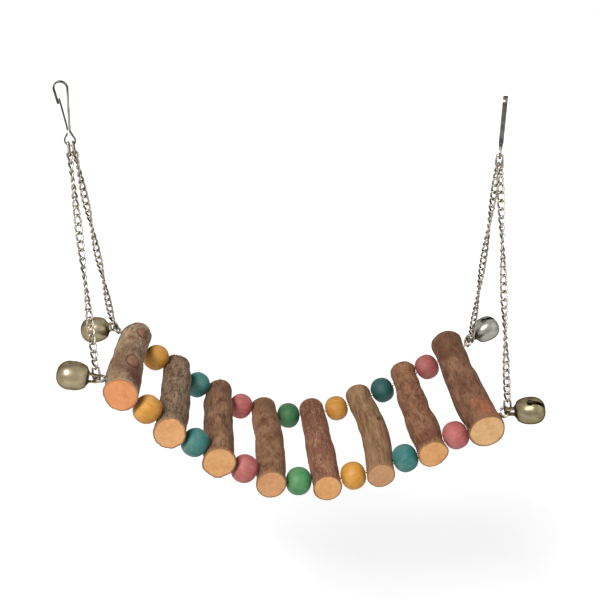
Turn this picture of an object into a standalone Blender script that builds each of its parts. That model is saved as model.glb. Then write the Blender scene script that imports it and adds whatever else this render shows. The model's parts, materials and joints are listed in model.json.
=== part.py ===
"""A hanging bird ladder, in metres, +Z up, with +X along the ladder and +Y along its rungs.

Eight branch rungs and fourteen beads are threaded on two stiff bent wires. A pair of chains
lifts each end of the wires to a snap hook, and a jingle bell hangs in each of the four wire eyes.
The origin lies midway between the points where the two hooks bear on the cage bar.
"""

import math
from collections import namedtuple

import bmesh
import bpy
from mathutils import Matrix, Vector

# Overall sizes
HOOK_SPAN = 0.2030
HOOK_STAGGER = 0.0042
HOOK_DROP = 0.0052
DECK_MIDDLE = Vector((0.0055, -0.0009, -0.1981))
DECK_END_SLOPE = math.radians(38.6)
DECK_TILT = math.radians(-6.0)
DECK_BEND_LENGTH = 0.0465
DECK_LEAN = math.radians(-4.0)
DECK_TWIST = math.radians(5.3)

# Clearances
FIT_GAP = 0.0004
THREAD_SLACK = 0.0008
BORE_CLEARANCE = 0.0009
RUNG_BORE_CLEARANCE = 0.0011
STRAP_CLEARANCE = 0.0006
LINK_BITE = 0.0002
LINK_PLAY = 0.0003
OPEN_LINK_PLAY = 0.000325
SEAT_GAP = 0.000775
TOP_LINK_GAP = 0.00105
CLIP_EYE_ROOM = 0.000425

# Rungs: length, how far the middle lies towards the rear, diameter, bow of the middle and its
# direction in degrees, and knots as (place along the rung, direction, height)
Rung = namedtuple("Rung", "length shift diameter bow bow_angle knots")
RUNGS = (
    Rung(0.083, 0.0015, 0.0172, 0.0012, 255, ((-0.006, 50, 0.0016), (0.019, 35, 0.0013))),
    Rung(0.081, 0.0005, 0.0156, 0.0008, 75, ()),
    Rung(0.080, 0.0000, 0.0154, -0.0006, 90, ()),
    Rung(0.080, 0.0000, 0.0152, 0.0004, 110, ()),
    Rung(0.080, 0.0000, 0.0146, 0.0005, 75, ()),
    Rung(0.080, 0.0000, 0.0146, 0.0012, 40, ((0.006, 80, 0.0011),)),
    Rung(0.080, 0.0000, 0.0148, -0.0010, 65, ((-0.009, 70, 0.0010), (0.013, 120, 0.0010))),
    Rung(0.087, 0.0015, 0.0172, 0.0006, 260, ()),
)
RUNG_EDGE = 0.0006
RUNG_SIDES = 12
RUNG_RINGS = 7
BORE_SIDES = 6
KNOT_WIDTH = 0.0045
# The two lobes of a rung's section: their share of the radius, and their turn in radians from one
# rung to the next and for each metre along a rung
LOBE_SIZE = 0.03
LOBE_TURN = 1.7
LOBE_SPIRAL = 25

# Beads
BEAD_DIAMETER = 0.0150
BEAD_LENGTH = 0.0129
BEAD_LAND = 0.0005
BEAD_SIDES = 10
BEAD_STEPS = 4
BEAD_COLOURS = ("yellow", "teal", "red", "green", "yellow", "teal", "red")

# Wires, and the eye that each wire end is bent into
WIRE_DIAMETER = 0.0015
WIRE_SPACING = 0.067
WIRE_SIDES = 6
WIRE_STEP = 0.0110
EYE_SHANK = 0.0012
EYE_LENGTH = 0.0040
EYE_BAR_HALF = 0.0016
EYE_CLOSE = 160
EYE_STEPS = 4
# How far each eye has been bent up from its wire and to the rear, in degrees
EYE_BENDS = {
    ("left", "front"): (-35, 0),
    ("left", "rear"): (0, 0),
    ("right", "front"): (0, -10),
    ("right", "rear"): (30, 0),
}
# A direction that no stretch of a wire runs along, which keeps its facets from turning
WIRE_FACET = Vector((-0.3, 0.2, 1))

# Chains: twisted curb links, bearing edge to edge, and longer open links at both ends
LINK_PITCH = 0.0049
LINK_WIRE = 0.00105
LINK_HALF_WIDTH = LINK_WIRE + LINK_PLAY
LINK_CORNER = 0.00065
LINK_CORNER_RISE = 0.0006
LINK_END_HALF = LINK_HALF_WIDTH - LINK_CORNER_RISE
LINK_HALF_TWIST = math.radians(45)
FIRST_LINK_TURN = math.radians(135)
CHAIN_TWIST = math.radians(18)
OPEN_LINK_INSIDE = 0.00515
OPEN_LINK_HALF_LENGTH = (OPEN_LINK_INSIDE + LINK_WIRE) / 2
TOP_LINK_SPREAD = (LINK_WIRE + TOP_LINK_GAP) / 2

# Snap hooks: a flat strip bent to a hook, a back leg and an eye, and a leaf that closes the hook
CLIP_WIDTH = 0.0022
CLIP_THICKNESS = 0.0008
CLIP_CROWN_RADIUS = 0.0030
CLIP_CROWN_START = 192
CLIP_CROWN_END = -5
CLIP_CROWN_STEPS = 7
CLIP_TIP = (-0.0017, -0.0095)
CLIP_NECK = (0.0022, -0.0221)
CLIP_EYE_WIDTH = 0.0012
CLIP_EYE_DROP = 0.0043
CLIP_EYE_SHIFT = 0.0003
CLIP_EYE_RADIUS = CLIP_THICKNESS / 2 + 1.5 * LINK_WIRE + CLIP_EYE_ROOM
CLIP_EYE_START = 40
CLIP_EYE_END = -215
CLIP_EYE_STEPS = 10
CLIP_EYE_TIP = (0.0010, -0.0232)
# Each hook's turn about the vertical, and the lean of its top to the front and to the right, in degrees
CLIP_POSES = {"left": (0, 0, 0), "right": (71, -6, 0)}
GATE_THICKNESS = 0.0005
GATE_WIDTH = 0.0022
GATE_PIVOT_HEIGHT = 0.0017
GATE_ROOT = 0.0012
GATE_LAP = 0.0022

# Bells
BELL_DIAMETER = 0.0140
BELL_LENGTH = 0.0152
BELL_WALL = 0.0007
BELL_CROWN_RADIUS = 0.0032
BELL_COLLAR_RADIUS = 0.0040
BELL_COLLAR_HEIGHT = 0.0010
BELL_SHOULDER_RISE = 0.0009
# How full the bell's outline is: 2 is an ellipse, and more is nearer to a drum
BELL_FULLNESS = 2.3
BELL_SLOT = 0.0022
BELL_SLOT_DEPTH = 0.0070
BELL_SLOT_HOLE = 0.0034
BELL_SIDES = 10
BELL_STEPS = 3
STRAP_LENGTH = 0.0032
STRAP_WIDTH = 0.0026
STRAP_THICKNESS = 0.0007
STRAP_SPREAD = 0.0019
STRAP_BITE = 0.0004
STRAP_OFFSET = 0.0008
STRAP_STEPS = 4
# Where a chain's bottom link bears on the eye's bar, beside the strap
CHAIN_SEAT = STRAP_WIDTH / 2 - STRAP_OFFSET + SEAT_GAP + LINK_WIRE / 2
PELLET_DIAMETER = 0.0050
PELLET_SIDES = 7
PELLET_STEPS = 4
# Each bell's rise and sideways turn from the ladder's length, and the turn of its slot
BELL_POSES = {
    ("left", "front"): (12, 4, 117),
    ("left", "rear"): (-8, 2, 90),
    ("right", "front"): (16, -8, 104),
    ("right", "rear"): (28, 8, 100),
}

# How far a cutter runs past what it cuts
CUT_PAST = 0.002
SHARP_ANGLE = math.radians(40)
AXIS_DISPLAY = 0.01

END_SIGN = {"left": -1, "right": 1}
SIDE_SIGN = {"front": -1, "rear": 1}

MATERIALS = {
    "bark": ((0.30, 0.19, 0.11), 0.85, 0.0),
    "yellow": ((0.66, 0.38, 0.05), 0.6, 0.0),
    "teal": ((0.03, 0.20, 0.17), 0.6, 0.0),
    "red": ((0.50, 0.10, 0.11), 0.6, 0.0),
    "green": ((0.06, 0.28, 0.09), 0.6, 0.0),
    "steel": ((0.55, 0.53, 0.50), 0.3, 1.0),
    "brass": ((0.42, 0.38, 0.24), 0.4, 1.0),
}


def remove_all_objects():
    for obj in list(bpy.data.objects):
        bpy.data.objects.remove(obj, do_unlink=True)


def material(name):
    """The Principled material of one finish, made on first use."""
    found = bpy.data.materials.get(name)
    if found:
        return found
    colour, roughness, metallic = MATERIALS[name]
    made = bpy.data.materials.new(name)
    made.use_nodes = True
    shader = made.node_tree.nodes["Principled BSDF"]
    shader.inputs["Base Color"].default_value = (*colour, 1)
    shader.inputs["Roughness"].default_value = roughness
    shader.inputs["Metallic"].default_value = metallic
    return made


def frame_matrix(origin, x_axis, y_axis):
    """A right-handed frame whose Y is y_axis and whose X is as near to x_axis as it can be."""
    y_axis = y_axis.normalized()
    x_axis = (x_axis - y_axis * x_axis.dot(y_axis)).normalized()
    matrix = Matrix((x_axis, y_axis, x_axis.cross(y_axis))).transposed().to_4x4()
    matrix.translation = origin
    return matrix


def loft(bm, rings, closed=False):
    """Skins a row of rings of points. An open row is capped at both ends, a closed one joins up."""
    rows = [[bm.verts.new(point) for point in ring] for ring in rings]
    count = len(rows[0])
    pairs = list(zip(rows, rows[1:]))
    if closed:
        pairs.append((rows[-1], rows[0]))
    else:
        bm.faces.new(rows[0])
        bm.faces.new(rows[-1])
    for lower, upper in pairs:
        for i in range(count):
            j = (i + 1) % count
            bm.faces.new((lower[i], lower[j], upper[j], upper[i]))


def sweep(bm, path, section, across, closed=False):
    """Carries section(i) along a path. across(i) is the direction of the section's first axis."""
    rings = []
    for i, point in enumerate(path):
        before = path[i - 1] if closed or i else point
        after = path[(i + 1) % len(path)] if closed or i + 1 < len(path) else point
        along = (after - before).normalized()
        first = across(i)
        first = (first - along * first.dot(along)).normalized()
        second = along.cross(first)
        rings.append([point + first * a + second * b for a, b in section(i)])
    loft(bm, rings, closed)


def revolve(bm, profile, sides):
    """A solid of revolution about local X from (x, radius) pairs; a radius of 0 is a pole."""
    rows = []
    for x, radius in profile:
        if radius == 0:
            rows.append([bm.verts.new((x, 0, 0))])
            continue
        turns = [math.tau * i / sides for i in range(sides)]
        rows.append([bm.verts.new((x, radius * math.cos(t), radius * math.sin(t))) for t in turns])
    for lower, upper in zip(rows, rows[1:]):
        for i in range(sides):
            j = (i + 1) % sides
            # At a pole both corners are the same point, which counts once.
            corners = [row[k % len(row)] for row, k in ((lower, i), (lower, j), (upper, j), (upper, i))]
            bm.faces.new(list(dict.fromkeys(corners)))
    for row in (rows[0], rows[-1]):
        if len(row) > 1:
            bm.faces.new(row)


def polygon(radius, sides):
    turns = [math.tau * (i + 0.5) / sides for i in range(sides)]
    return [(radius * math.cos(t), radius * math.sin(t)) for t in turns]


def rectangle(width, height):
    corners = ((1, 1), (-1, 1), (-1, -1), (1, -1))
    return [(x * width / 2, y * height / 2) for x, y in corners]


def arc(centre, radius, start, end, steps):
    """Points of a plane arc, angles in degrees."""
    turns = [math.radians(start + (end - start) * i / steps) for i in range(steps + 1)]
    return [(centre[0] + radius * math.cos(t), centre[1] + radius * math.sin(t)) for t in turns]


def make_object(name, bm, finish, matrix=Matrix(), parent=None):
    """An object from a bmesh in its own frame, placed by matrix and parented where it stands."""
    bmesh.ops.recalc_face_normals(bm, faces=bm.faces)
    mesh = bpy.data.meshes.new(name)
    bm.to_mesh(mesh)
    bm.free()
    mesh.shade_smooth()
    mesh.set_sharp_from_angle(angle=SHARP_ANGLE)
    mesh.materials.append(material(finish))
    obj = bpy.data.objects.new(name, mesh)
    bpy.context.scene.collection.objects.link(obj)
    obj.matrix_world = matrix
    if parent:
        obj.parent = parent
        obj.matrix_parent_inverse = parent.matrix_basis.inverted()
    return obj


def make_axis(name, origin, y_axis):
    """An empty whose Y lies on a joint's axis."""
    empty = bpy.data.objects.new(name, None)
    empty.empty_display_size = AXIS_DISPLAY
    bpy.context.scene.collection.objects.link(empty)
    empty.matrix_world = frame_matrix(origin, Vector((1, 0.01, 0)), y_axis)
    return empty


def helper(name, bm, matrix):
    """A hidden solid that a Boolean uses."""
    obj = make_object(name, bm, "steel", matrix)
    obj.hide_render = True
    obj.display_type = "WIRE"
    return obj


def boolean(obj, other, operation):
    modifier = obj.modifiers.new(other.name, "BOOLEAN")
    modifier.operation = operation
    modifier.solver = "EXACT"
    modifier.object = other


def deck_slope(s):
    """The wires' slope at a length s from the deck's middle: steep ends and a round bottom."""
    return DECK_TILT + DECK_END_SLOPE * math.tanh(s / DECK_BEND_LENGTH)


def deck_tangent(s):
    return Vector((math.cos(deck_slope(s)), 0, math.sin(deck_slope(s))))


def deck_centre(s, steps=120):
    """The point midway between the wires at the length s, summed along the slope."""
    step = s / steps
    total = Vector((0, 0, 0))
    for i in range(steps):
        total += deck_tangent((i + 0.5) * step) * step
    return DECK_MIDDLE + total


def rung_direction(s, half_length):
    """The rungs' direction, which leans and twists along the deck because the chains differ."""
    lean = DECK_LEAN + DECK_TWIST * s / half_length
    return Vector((0, math.cos(lean), math.sin(lean)))


class Deck:
    """Where the rungs and beads stand along the wires."""

    def __init__(self):
        self.rungs = []
        self.beads = []
        s = 0
        for i, rung in enumerate(RUNGS):
            radius = rung.diameter / 2
            if i:
                self.beads.append(s + THREAD_SLACK + BEAD_LENGTH / 2)
                s += BEAD_LENGTH + 2 * THREAD_SLACK + radius
            self.rungs.append(s)
            s += radius
        middle = (self.rungs[0] + self.rungs[-1]) / 2
        self.rungs = [s - middle for s in self.rungs]
        self.beads = [s - middle for s in self.beads]
        self.half_length = self.rungs[-1]
        self.ends = {
            "left": self.rungs[0] - RUNGS[0].diameter / 2 - FIT_GAP,
            "right": self.rungs[-1] + RUNGS[-1].diameter / 2 + FIT_GAP,
        }

    def across(self, s):
        return rung_direction(s, self.half_length)

    def wire_point(self, s, side):
        return deck_centre(s) + self.across(s) * (SIDE_SIGN[side] * WIRE_SPACING / 2)

    def wire_frame(self, s, side, nudge=0.0005):
        """A frame on a wire, X along the wire and Y as near to the rungs as it can be."""
        along = self.wire_point(s + nudge, side) - self.wire_point(s - nudge, side)
        frame = frame_matrix(self.wire_point(s, side), along, self.across(s))
        x_axis = along.normalized()
        y_axis = frame.col[2].to_3d().cross(x_axis)
        return frame_matrix(self.wire_point(s, side), x_axis, y_axis)

    def eye_frame(self, end, side):
        """A frame at the middle of a wire eye's outer bar: X outwards along the wire, Y along the bar."""
        s = self.ends[end]
        rise, turn = (END_SIGN[end] * math.radians(bend) for bend in EYE_BENDS[end, side])
        outwards = Matrix.Rotation(-rise, 3, self.across(s)) @ deck_tangent(s) * END_SIGN[end]
        frame = frame_matrix(self.wire_point(s, side), outwards, self.across(s))
        frame = frame @ Matrix.Rotation(turn, 4, "Z")
        frame.translation = frame @ Vector((EYE_SHANK + EYE_LENGTH, 0, 0))
        return frame


def make_rung(number, rung, deck, parent):
    """A branch: a bowed, slightly lobed round that is true where the wires and beads meet it."""
    radius = rung.diameter / 2
    half = rung.length / 2
    s = deck.rungs[number - 1]
    bow_angle = math.radians(rung.bow_angle)
    bow = Vector((math.cos(bow_angle), 0, math.sin(bow_angle))) * rung.bow

    def away_from_wires(y):
        off = (abs(y) - WIRE_SPACING / 2) / BEAD_DIAMETER
        return 1 - math.exp(-(off**2))

    def ring(y, inset):
        centre = Vector((0, y, 0)) + bow * (1 - (2 * y / WIRE_SPACING) ** 2)
        points = []
        for i in range(RUNG_SIDES):
            turn = math.tau * i / RUNG_SIDES
            lobe = LOBE_SIZE * math.sin(2 * turn + LOBE_TURN * number + LOBE_SPIRAL * y)
            size = radius * (1 + lobe * away_from_wires(y)) - inset
            for knot_y, knot_angle, height in rung.knots:
                turn_off = math.remainder(turn - math.radians(knot_angle), math.tau) * radius
                size += height * math.exp(-((turn_off**2 + (y - knot_y) ** 2) / KNOT_WIDTH**2))
            points.append(centre + Vector((math.cos(turn), 0, math.sin(turn))) * size)
        return points

    inner_half = half - RUNG_EDGE
    middle = rung.shift
    rings = [ring(middle - half, RUNG_EDGE)]
    for i in range(RUNG_RINGS):
        rings.append(ring(middle - inner_half + 2 * inner_half * i / (RUNG_RINGS - 1), 0))
    rings.append(ring(middle + half, RUNG_EDGE))
    bm = bmesh.new()
    loft(bm, rings)
    matrix = frame_matrix(deck_centre(s), deck_tangent(s), deck.across(s))
    obj = make_object(f"rung_{number}", bm, "bark", matrix, parent)
    for side in SIDE_SIGN:
        drill = bmesh.new()
        bore = WIRE_DIAMETER / 2 + RUNG_BORE_CLEARANCE
        reach = radius + CUT_PAST
        revolve(drill, [(-reach, bore), (reach, bore)], BORE_SIDES)
        boolean(obj, helper(f"rung_{number}_{side}_drill", drill, deck.wire_frame(s, side)), "DIFFERENCE")


def make_bead(number, side, deck, parent):
    """A slightly flattened ball with a through bore and a narrow land round it, as one turned ring."""
    radius = BEAD_DIAMETER / 2
    bore = WIRE_DIAMETER / 2 + BORE_CLEARANCE
    limit = math.acos((bore + BEAD_LAND) / radius)
    turns = [limit * (2 * i / BEAD_STEPS - 1) for i in range(BEAD_STEPS + 1)]
    stretch = BEAD_LENGTH / 2 / math.sin(limit)
    profile = [(stretch * math.sin(t), radius * math.cos(t)) for t in turns]
    profile += [(BEAD_LENGTH / 2, bore), (-BEAD_LENGTH / 2, bore)]
    rings = []
    for i in range(BEAD_SIDES):
        turn = math.tau * i / BEAD_SIDES
        rings.append([Vector((x, r * math.cos(turn), r * math.sin(turn))) for x, r in profile])
    bm = bmesh.new()
    loft(bm, rings, closed=True)
    matrix = deck.wire_frame(deck.beads[number - 1], side)
    make_object(f"bead_{number}_{side}", bm, BEAD_COLOURS[number - 1], matrix, parent)


def eye_outline(sign):
    """A wire end from its rung round a long closed eye, X outwards and 0 at the rung."""
    round_end = EYE_LENGTH / 2
    middle = EYE_SHANK + round_end
    points = [(EYE_SHANK, 0)]
    points += arc((middle, EYE_BAR_HALF), round_end, 180, 0, EYE_STEPS)
    points += arc((middle, -EYE_BAR_HALF), round_end, 0, -EYE_CLOSE, EYE_STEPS)
    return [(x, y * sign) for x, y in points]


def make_wire(side, deck, parent):
    """A bent wire through all rungs and beads, with a closed eye at both ends."""
    eyes = {}
    for end in END_SIGN:
        frame = deck.eye_frame(end, side) @ Matrix.Translation((-EYE_SHANK - EYE_LENGTH, 0, 0))
        # The tip that closes the eye turns towards the ladder's middle line.
        eyes[end] = [frame @ Vector((x, y, 0)) for x, y in eye_outline(SIDE_SIGN[side])]
    span = deck.ends["right"] - deck.ends["left"]
    count = math.ceil(span / WIRE_STEP)
    between = [deck.wire_point(deck.ends["left"] + span * i / count, side) for i in range(count + 1)]
    path = eyes["left"][::-1] + between + eyes["right"]
    bm = bmesh.new()
    sweep(bm, path, lambda i: polygon(WIRE_DIAMETER / 2, WIRE_SIDES), lambda i: WIRE_FACET)
    make_object(f"{side}_wire", bm, "steel", Matrix(), parent)


def link_path(half_length, half_width, end_half, corner, twist):
    """The eight corners of a link's centre line along local X, twisted about X from end to end."""
    outline = [
        (half_length, -end_half),
        (half_length, end_half),
        (half_length - corner, half_width),
        (corner - half_length, half_width),
        (-half_length, end_half),
        (-half_length, -end_half),
        (corner - half_length, -half_width),
        (half_length - corner, -half_width),
    ]
    points = []
    normals = []
    for x, y in outline:
        turn = twist * x / half_length
        points.append(Vector((x, y * math.cos(turn), y * math.sin(turn))))
        normals.append(Vector((0, -math.sin(turn), math.cos(turn))))
    return points, normals


def add_link(bm, matrix, points, normals):
    rotation = matrix.to_3x3()
    radius = LINK_WIRE / 2
    diamond = [(radius, 0), (0, radius), (-radius, 0), (0, -radius)]
    path = [matrix @ point for point in points]
    sweep(bm, path, lambda i: diamond, lambda i: rotation @ normals[i], closed=True)


def add_open_link(bm, matrix, inside_width):
    """A flat link that goes round a bar or strip of the given width with some play."""
    corner = LINK_WIRE / 2 + OPEN_LINK_PLAY
    end_half = inside_width / 2
    points, normals = link_path(OPEN_LINK_HALF_LENGTH, end_half + corner, end_half, corner, 0)
    add_link(bm, matrix, points, normals)


def link_frame(top, down, bar, distance, turn):
    """A link's frame at a distance down the chain, its Y turned from the top bar's direction."""
    frame = frame_matrix(top, bar, -down)
    y_axis = frame.col[0].to_3d()
    z_axis = down.cross(y_axis)
    turned = y_axis * math.cos(turn) + z_axis * math.sin(turn)
    return frame_matrix(top + down * distance, down, turned)


def chain_foot(end, side, deck):
    """Where a chain's bottom link bears on its wire eye's bar."""
    return deck.eye_frame(end, side) @ Vector((0, -SIDE_SIGN[side] * CHAIN_SEAT, 0))


def chain_head(end, side, deck):
    """Where a top link bears on its hook's eye: the pair straddles the line of both chains' pull."""
    eye_x, eye_z = clip_eye_centre()
    feet = [chain_foot(end, each, deck) for each in SIDE_SIGN]
    middle = clip_frame(end).inverted() @ ((feet[0] + feet[1]) / 2)
    turn = math.atan2(middle.x - eye_x, eye_z - middle.z)
    turn += SIDE_SIGN[side] * math.asin(TOP_LINK_SPREAD / CLIP_EYE_RADIUS)
    return Vector((eye_x + CLIP_EYE_RADIUS * math.sin(turn), 0, eye_z - CLIP_EYE_RADIUS * math.cos(turn)))


class Chain:
    """One chain's line from its hook's eye to its wire eye, and the links that fill it."""

    def __init__(self, end, side, deck):
        self.name = f"{end}_{side}"
        # Half the bearing gap at a bar: half of what it bears on, the gap and half of this wire
        above = CLIP_THICKNESS / 2 + FIT_GAP + LINK_WIRE / 2
        below = WIRE_DIAMETER / 2 + FIT_GAP + LINK_WIRE / 2
        eye = deck.eye_frame(end, side)
        foot = chain_foot(end, side, deck)
        clip = clip_frame(end)
        head = clip @ chain_head(end, side, deck)
        self.down = (foot - head).normalized()
        self.top = head - self.down * above
        self.bottom = foot + self.down * below
        self.bar = clip.col[1].to_3d()
        self.eye_axis = eye.col[1].to_3d()
        open_length = 2 * OPEN_LINK_HALF_LENGTH
        self.joint = self.top + self.down * (open_length - LINK_WIRE / 2 - FIT_GAP / 2)
        first = open_length - LINK_WIRE - FIT_GAP
        last = (self.bottom - self.top).length - open_length
        self.count = round((last - first) / LINK_PITCH)
        self.first = first
        self.pitch = (last - first) / self.count
        self.half_length = (self.pitch + LINK_WIRE - LINK_BITE) / 2
        self.last_distance = (self.bottom - self.top).length - OPEN_LINK_HALF_LENGTH

    def links(self):
        """The frame of each curb link, turning steadily so that both ends meet their bars squarely."""
        bar_in_clip = link_frame(self.top, self.down, self.bar, 0, 0)
        wanted = self.eye_axis.cross(self.down)
        turn_wanted = math.atan2(wanted.dot(bar_in_clip.col[2]), wanted.dot(bar_in_clip.col[1]))
        natural = CHAIN_TWIST * (self.count - 1)
        total = turn_wanted + math.pi / 2 + math.pi * round((natural - turn_wanted - math.pi / 2) / math.pi)
        for i in range(self.count):
            turn = FIRST_LINK_TURN + total * i / (self.count - 1)
            distance = self.first + self.pitch * i + self.half_length
            yield link_frame(self.top, self.down, self.bar, distance, turn)

    def bottom_link(self):
        bar = self.eye_axis.cross(self.down)
        return link_frame(self.top, self.down, bar, self.last_distance, 0)


def make_chain(chain, parent):
    """The curb links, each bearing on the next, and the open link at the bottom, as one piece.

    Its origin lies where it hangs in its top link.
    """
    points, normals = link_path(
        chain.half_length, LINK_HALF_WIDTH, LINK_END_HALF, LINK_CORNER, LINK_HALF_TWIST
    )
    rows = (bmesh.new(), bmesh.new())
    for i, frame in enumerate(chain.links()):
        add_link(rows[i % 2], frame, points, normals)
    add_open_link(rows[chain.count % 2], chain.bottom_link(), WIRE_DIAMETER)
    at_joint = Matrix.Translation(chain.joint)
    for bm in rows:
        bmesh.ops.transform(bm, matrix=at_joint.inverted(), verts=bm.verts)
    obj = make_object(f"{chain.name}_chain", rows[0], "steel", at_joint, parent)
    boolean(obj, helper(f"{chain.name}_even_links", rows[1], at_joint), "UNION")


def make_top_link(chain, parent):
    bm = bmesh.new()
    add_open_link(bm, Matrix(), CLIP_EYE_WIDTH)
    matrix = link_frame(chain.top, chain.down, chain.bar, OPEN_LINK_HALF_LENGTH, 0)
    make_object(f"{chain.name}_top_link", bm, "steel", matrix, parent)


def clip_frame(end):
    """A hook's frame: X across it, Y through it, Z up, and 0 where it bears on the cage bar.

    The left hook is seen flat on. The right one is turned so that its gate faces the front.
    """
    origin = Vector((HOOK_SPAN, -HOOK_STAGGER, -HOOK_DROP)) * (END_SIGN[end] / 2)
    turn, front, right = (math.radians(angle) for angle in CLIP_POSES[end])
    lean = Matrix.Rotation(right, 4, "Y") @ Matrix.Rotation(front, 4, "X")
    return Matrix.Translation(origin) @ lean @ Matrix.Rotation(turn, 4, "Z")


def clip_eye_centre():
    return (CLIP_NECK[0] - CLIP_EYE_SHIFT, CLIP_NECK[1] - CLIP_EYE_DROP)


def clip_crown():
    """The centre line of a hook's crown, from the tip's side to the back leg's."""
    centre = (0, CLIP_THICKNESS / 2 - CLIP_CROWN_RADIUS)
    return arc(centre, CLIP_CROWN_RADIUS, CLIP_CROWN_START, CLIP_CROWN_END, CLIP_CROWN_STEPS)


def back_leg_x(z):
    """The centre of a hook's back leg at the height z."""
    top_x, top_z = clip_crown()[-1]
    share = (z - top_z) / (CLIP_NECK[1] - top_z)
    return top_x + share * (CLIP_NECK[0] - top_x)


def make_clip(end):
    """A snap hook of flat strip: tip, crown, back leg and neck, and a closed eye of narrowed strip."""
    hook = [CLIP_TIP] + clip_crown() + [CLIP_NECK]
    eye = arc(clip_eye_centre(), CLIP_EYE_RADIUS, CLIP_EYE_START, CLIP_EYE_END, CLIP_EYE_STEPS)
    path = [Vector((x, 0, z)) for x, z in hook + eye + [CLIP_EYE_TIP]]

    def section(i):
        return rectangle(CLIP_WIDTH if i < len(hook) else CLIP_EYE_WIDTH, CLIP_THICKNESS)

    bm = bmesh.new()
    sweep(bm, path, section, lambda i: Vector((0, 1, 0)))
    make_object(f"{end}_clip", bm, "steel", clip_frame(end))


def gate_pivot():
    """The bend of the gate leaf, clear of the back leg by the fit gap."""
    z = CLIP_NECK[1] + GATE_PIVOT_HEIGHT
    return back_leg_x(z) - CLIP_THICKNESS / 2 - FIT_GAP - GATE_THICKNESS / 2, z


def make_gate(end):
    """The sprung leaf: a root along the back leg, a blade to the hook's tip and a lap up inside it."""
    pivot_x, pivot_z = gate_pivot()
    root_z = pivot_z - GATE_ROOT
    root_x = pivot_x + back_leg_x(root_z) - back_leg_x(pivot_z)
    tip = Vector(CLIP_TIP)
    up_tip = (Vector(clip_crown()[0]) - tip).normalized()
    inwards = Vector((up_tip.y, -up_tip.x))
    at_tip = tip + inwards * (CLIP_THICKNESS / 2 + FIT_GAP + GATE_THICKNESS / 2)
    outline = [(root_x, root_z), (pivot_x, pivot_z), at_tip, at_tip + up_tip * GATE_LAP]
    path = [Vector((x - pivot_x, 0, z - pivot_z)) for x, z in outline]
    bm = bmesh.new()
    sweep(bm, path, lambda i: rectangle(GATE_WIDTH, GATE_THICKNESS), lambda i: Vector((0, 1, 0)))
    pivot = clip_frame(end) @ Vector((pivot_x, 0, pivot_z))
    matrix = clip_frame(end)
    matrix.translation = pivot
    make_object(f"{end}_clip_gate", bm, "steel", matrix)


def bell_profile(inset):
    """A bell's outline as (x, radius), x from the crown, moved in by inset: collar, shoulder and ball."""
    radius = BELL_DIAMETER / 2
    middle = BELL_LENGTH - radius
    collar = BELL_COLLAR_HEIGHT + inset
    profile = [(inset, BELL_CROWN_RADIUS - inset), (collar, BELL_COLLAR_RADIUS - inset)]
    rise = middle + BELL_SHOULDER_RISE - inset
    shell = radius - inset
    power = 2 / BELL_FULLNESS
    shoulder_turn = math.asin(((middle - collar) / rise) ** (1 / power))
    for i in range(BELL_STEPS):
        turn = shoulder_turn * (1 - i / BELL_STEPS)
        profile.append((middle - rise * math.sin(turn) ** power, shell * math.cos(turn) ** power))
    for i in range(BELL_STEPS):
        turn = math.pi / 2 * i / BELL_STEPS
        profile.append((middle + shell * math.sin(turn) ** power, shell * math.cos(turn) ** power))
    profile.append((BELL_LENGTH - inset, 0))
    return profile


def strap_path():
    """The strap loop in the plane across the wire: two legs and a round tip about the pivot."""
    tip = WIRE_DIAMETER / 2 + STRAP_CLEARANCE + STRAP_THICKNESS / 2
    foot = STRAP_LENGTH + STRAP_BITE
    outline = [(foot, STRAP_SPREAD)] + arc((0, 0), tip, 90, 270, STRAP_STEPS) + [(foot, -STRAP_SPREAD)]
    return [Vector((x, 0, z)) for x, z in outline]


def bell_frame(end, side, deck):
    """A bell's frame: 0 on the wire eye's bar, X from the strap to the bell's far end, Y on the pivot."""
    eye = deck.eye_frame(end, side)
    rise, turn, _ = BELL_POSES[end, side]
    sign = END_SIGN[end]
    direction = Vector((sign * math.cos(math.radians(rise)), 0, math.sin(math.radians(rise))))
    pivot = eye @ Vector((0, SIDE_SIGN[side] * STRAP_OFFSET, 0))
    frame = frame_matrix(pivot, direction, eye.col[1].to_3d())
    return frame @ Matrix.Rotation(math.radians(turn) * sign, 4, "Z")


def make_bell(end, side, deck, parent):
    """A slotted round bell with a strap loop brazed to its crown."""
    name = f"{end}_{side}_bell"
    frame = bell_frame(end, side, deck)
    slot_turn = Matrix.Rotation(math.radians(BELL_POSES[end, side][2]), 4, "X")
    at_crown = frame @ Matrix.Translation((STRAP_LENGTH, 0, 0))
    bm = bmesh.new()
    revolve(bm, bell_profile(0), BELL_SIDES)
    bmesh.ops.translate(bm, vec=(STRAP_LENGTH, 0, 0), verts=bm.verts)
    obj = make_object(name, bm, "brass", frame, parent)
    cavity = bmesh.new()
    revolve(cavity, bell_profile(BELL_WALL), BELL_SIDES)
    boolean(obj, helper(f"{name}_cavity", cavity, at_crown), "DIFFERENCE")
    slot = bmesh.new()
    start = BELL_LENGTH - BELL_SLOT_DEPTH
    reach = BELL_DIAMETER / 2 + CUT_PAST
    ring = rectangle(2 * reach, BELL_SLOT)
    loft(slot, [[Vector((x, y, z)) for y, z in ring] for x in (start, BELL_LENGTH + CUT_PAST)])
    boolean(obj, helper(f"{name}_slot", slot, at_crown @ slot_turn), "DIFFERENCE")
    hole = bmesh.new()
    circle = polygon(BELL_SLOT_HOLE / 2, WIRE_SIDES)
    loft(hole, [[Vector((start + x, y, z)) for x, z in circle] for y in (-reach, reach)])
    boolean(obj, helper(f"{name}_slot_holes", hole, at_crown @ slot_turn), "DIFFERENCE")
    strap = bmesh.new()
    section = rectangle(STRAP_WIDTH, STRAP_THICKNESS)
    sweep(strap, strap_path(), lambda i: section, lambda i: Vector((0, 1, 0)))
    boolean(obj, helper(f"{name}_strap", strap, frame), "UNION")


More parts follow.
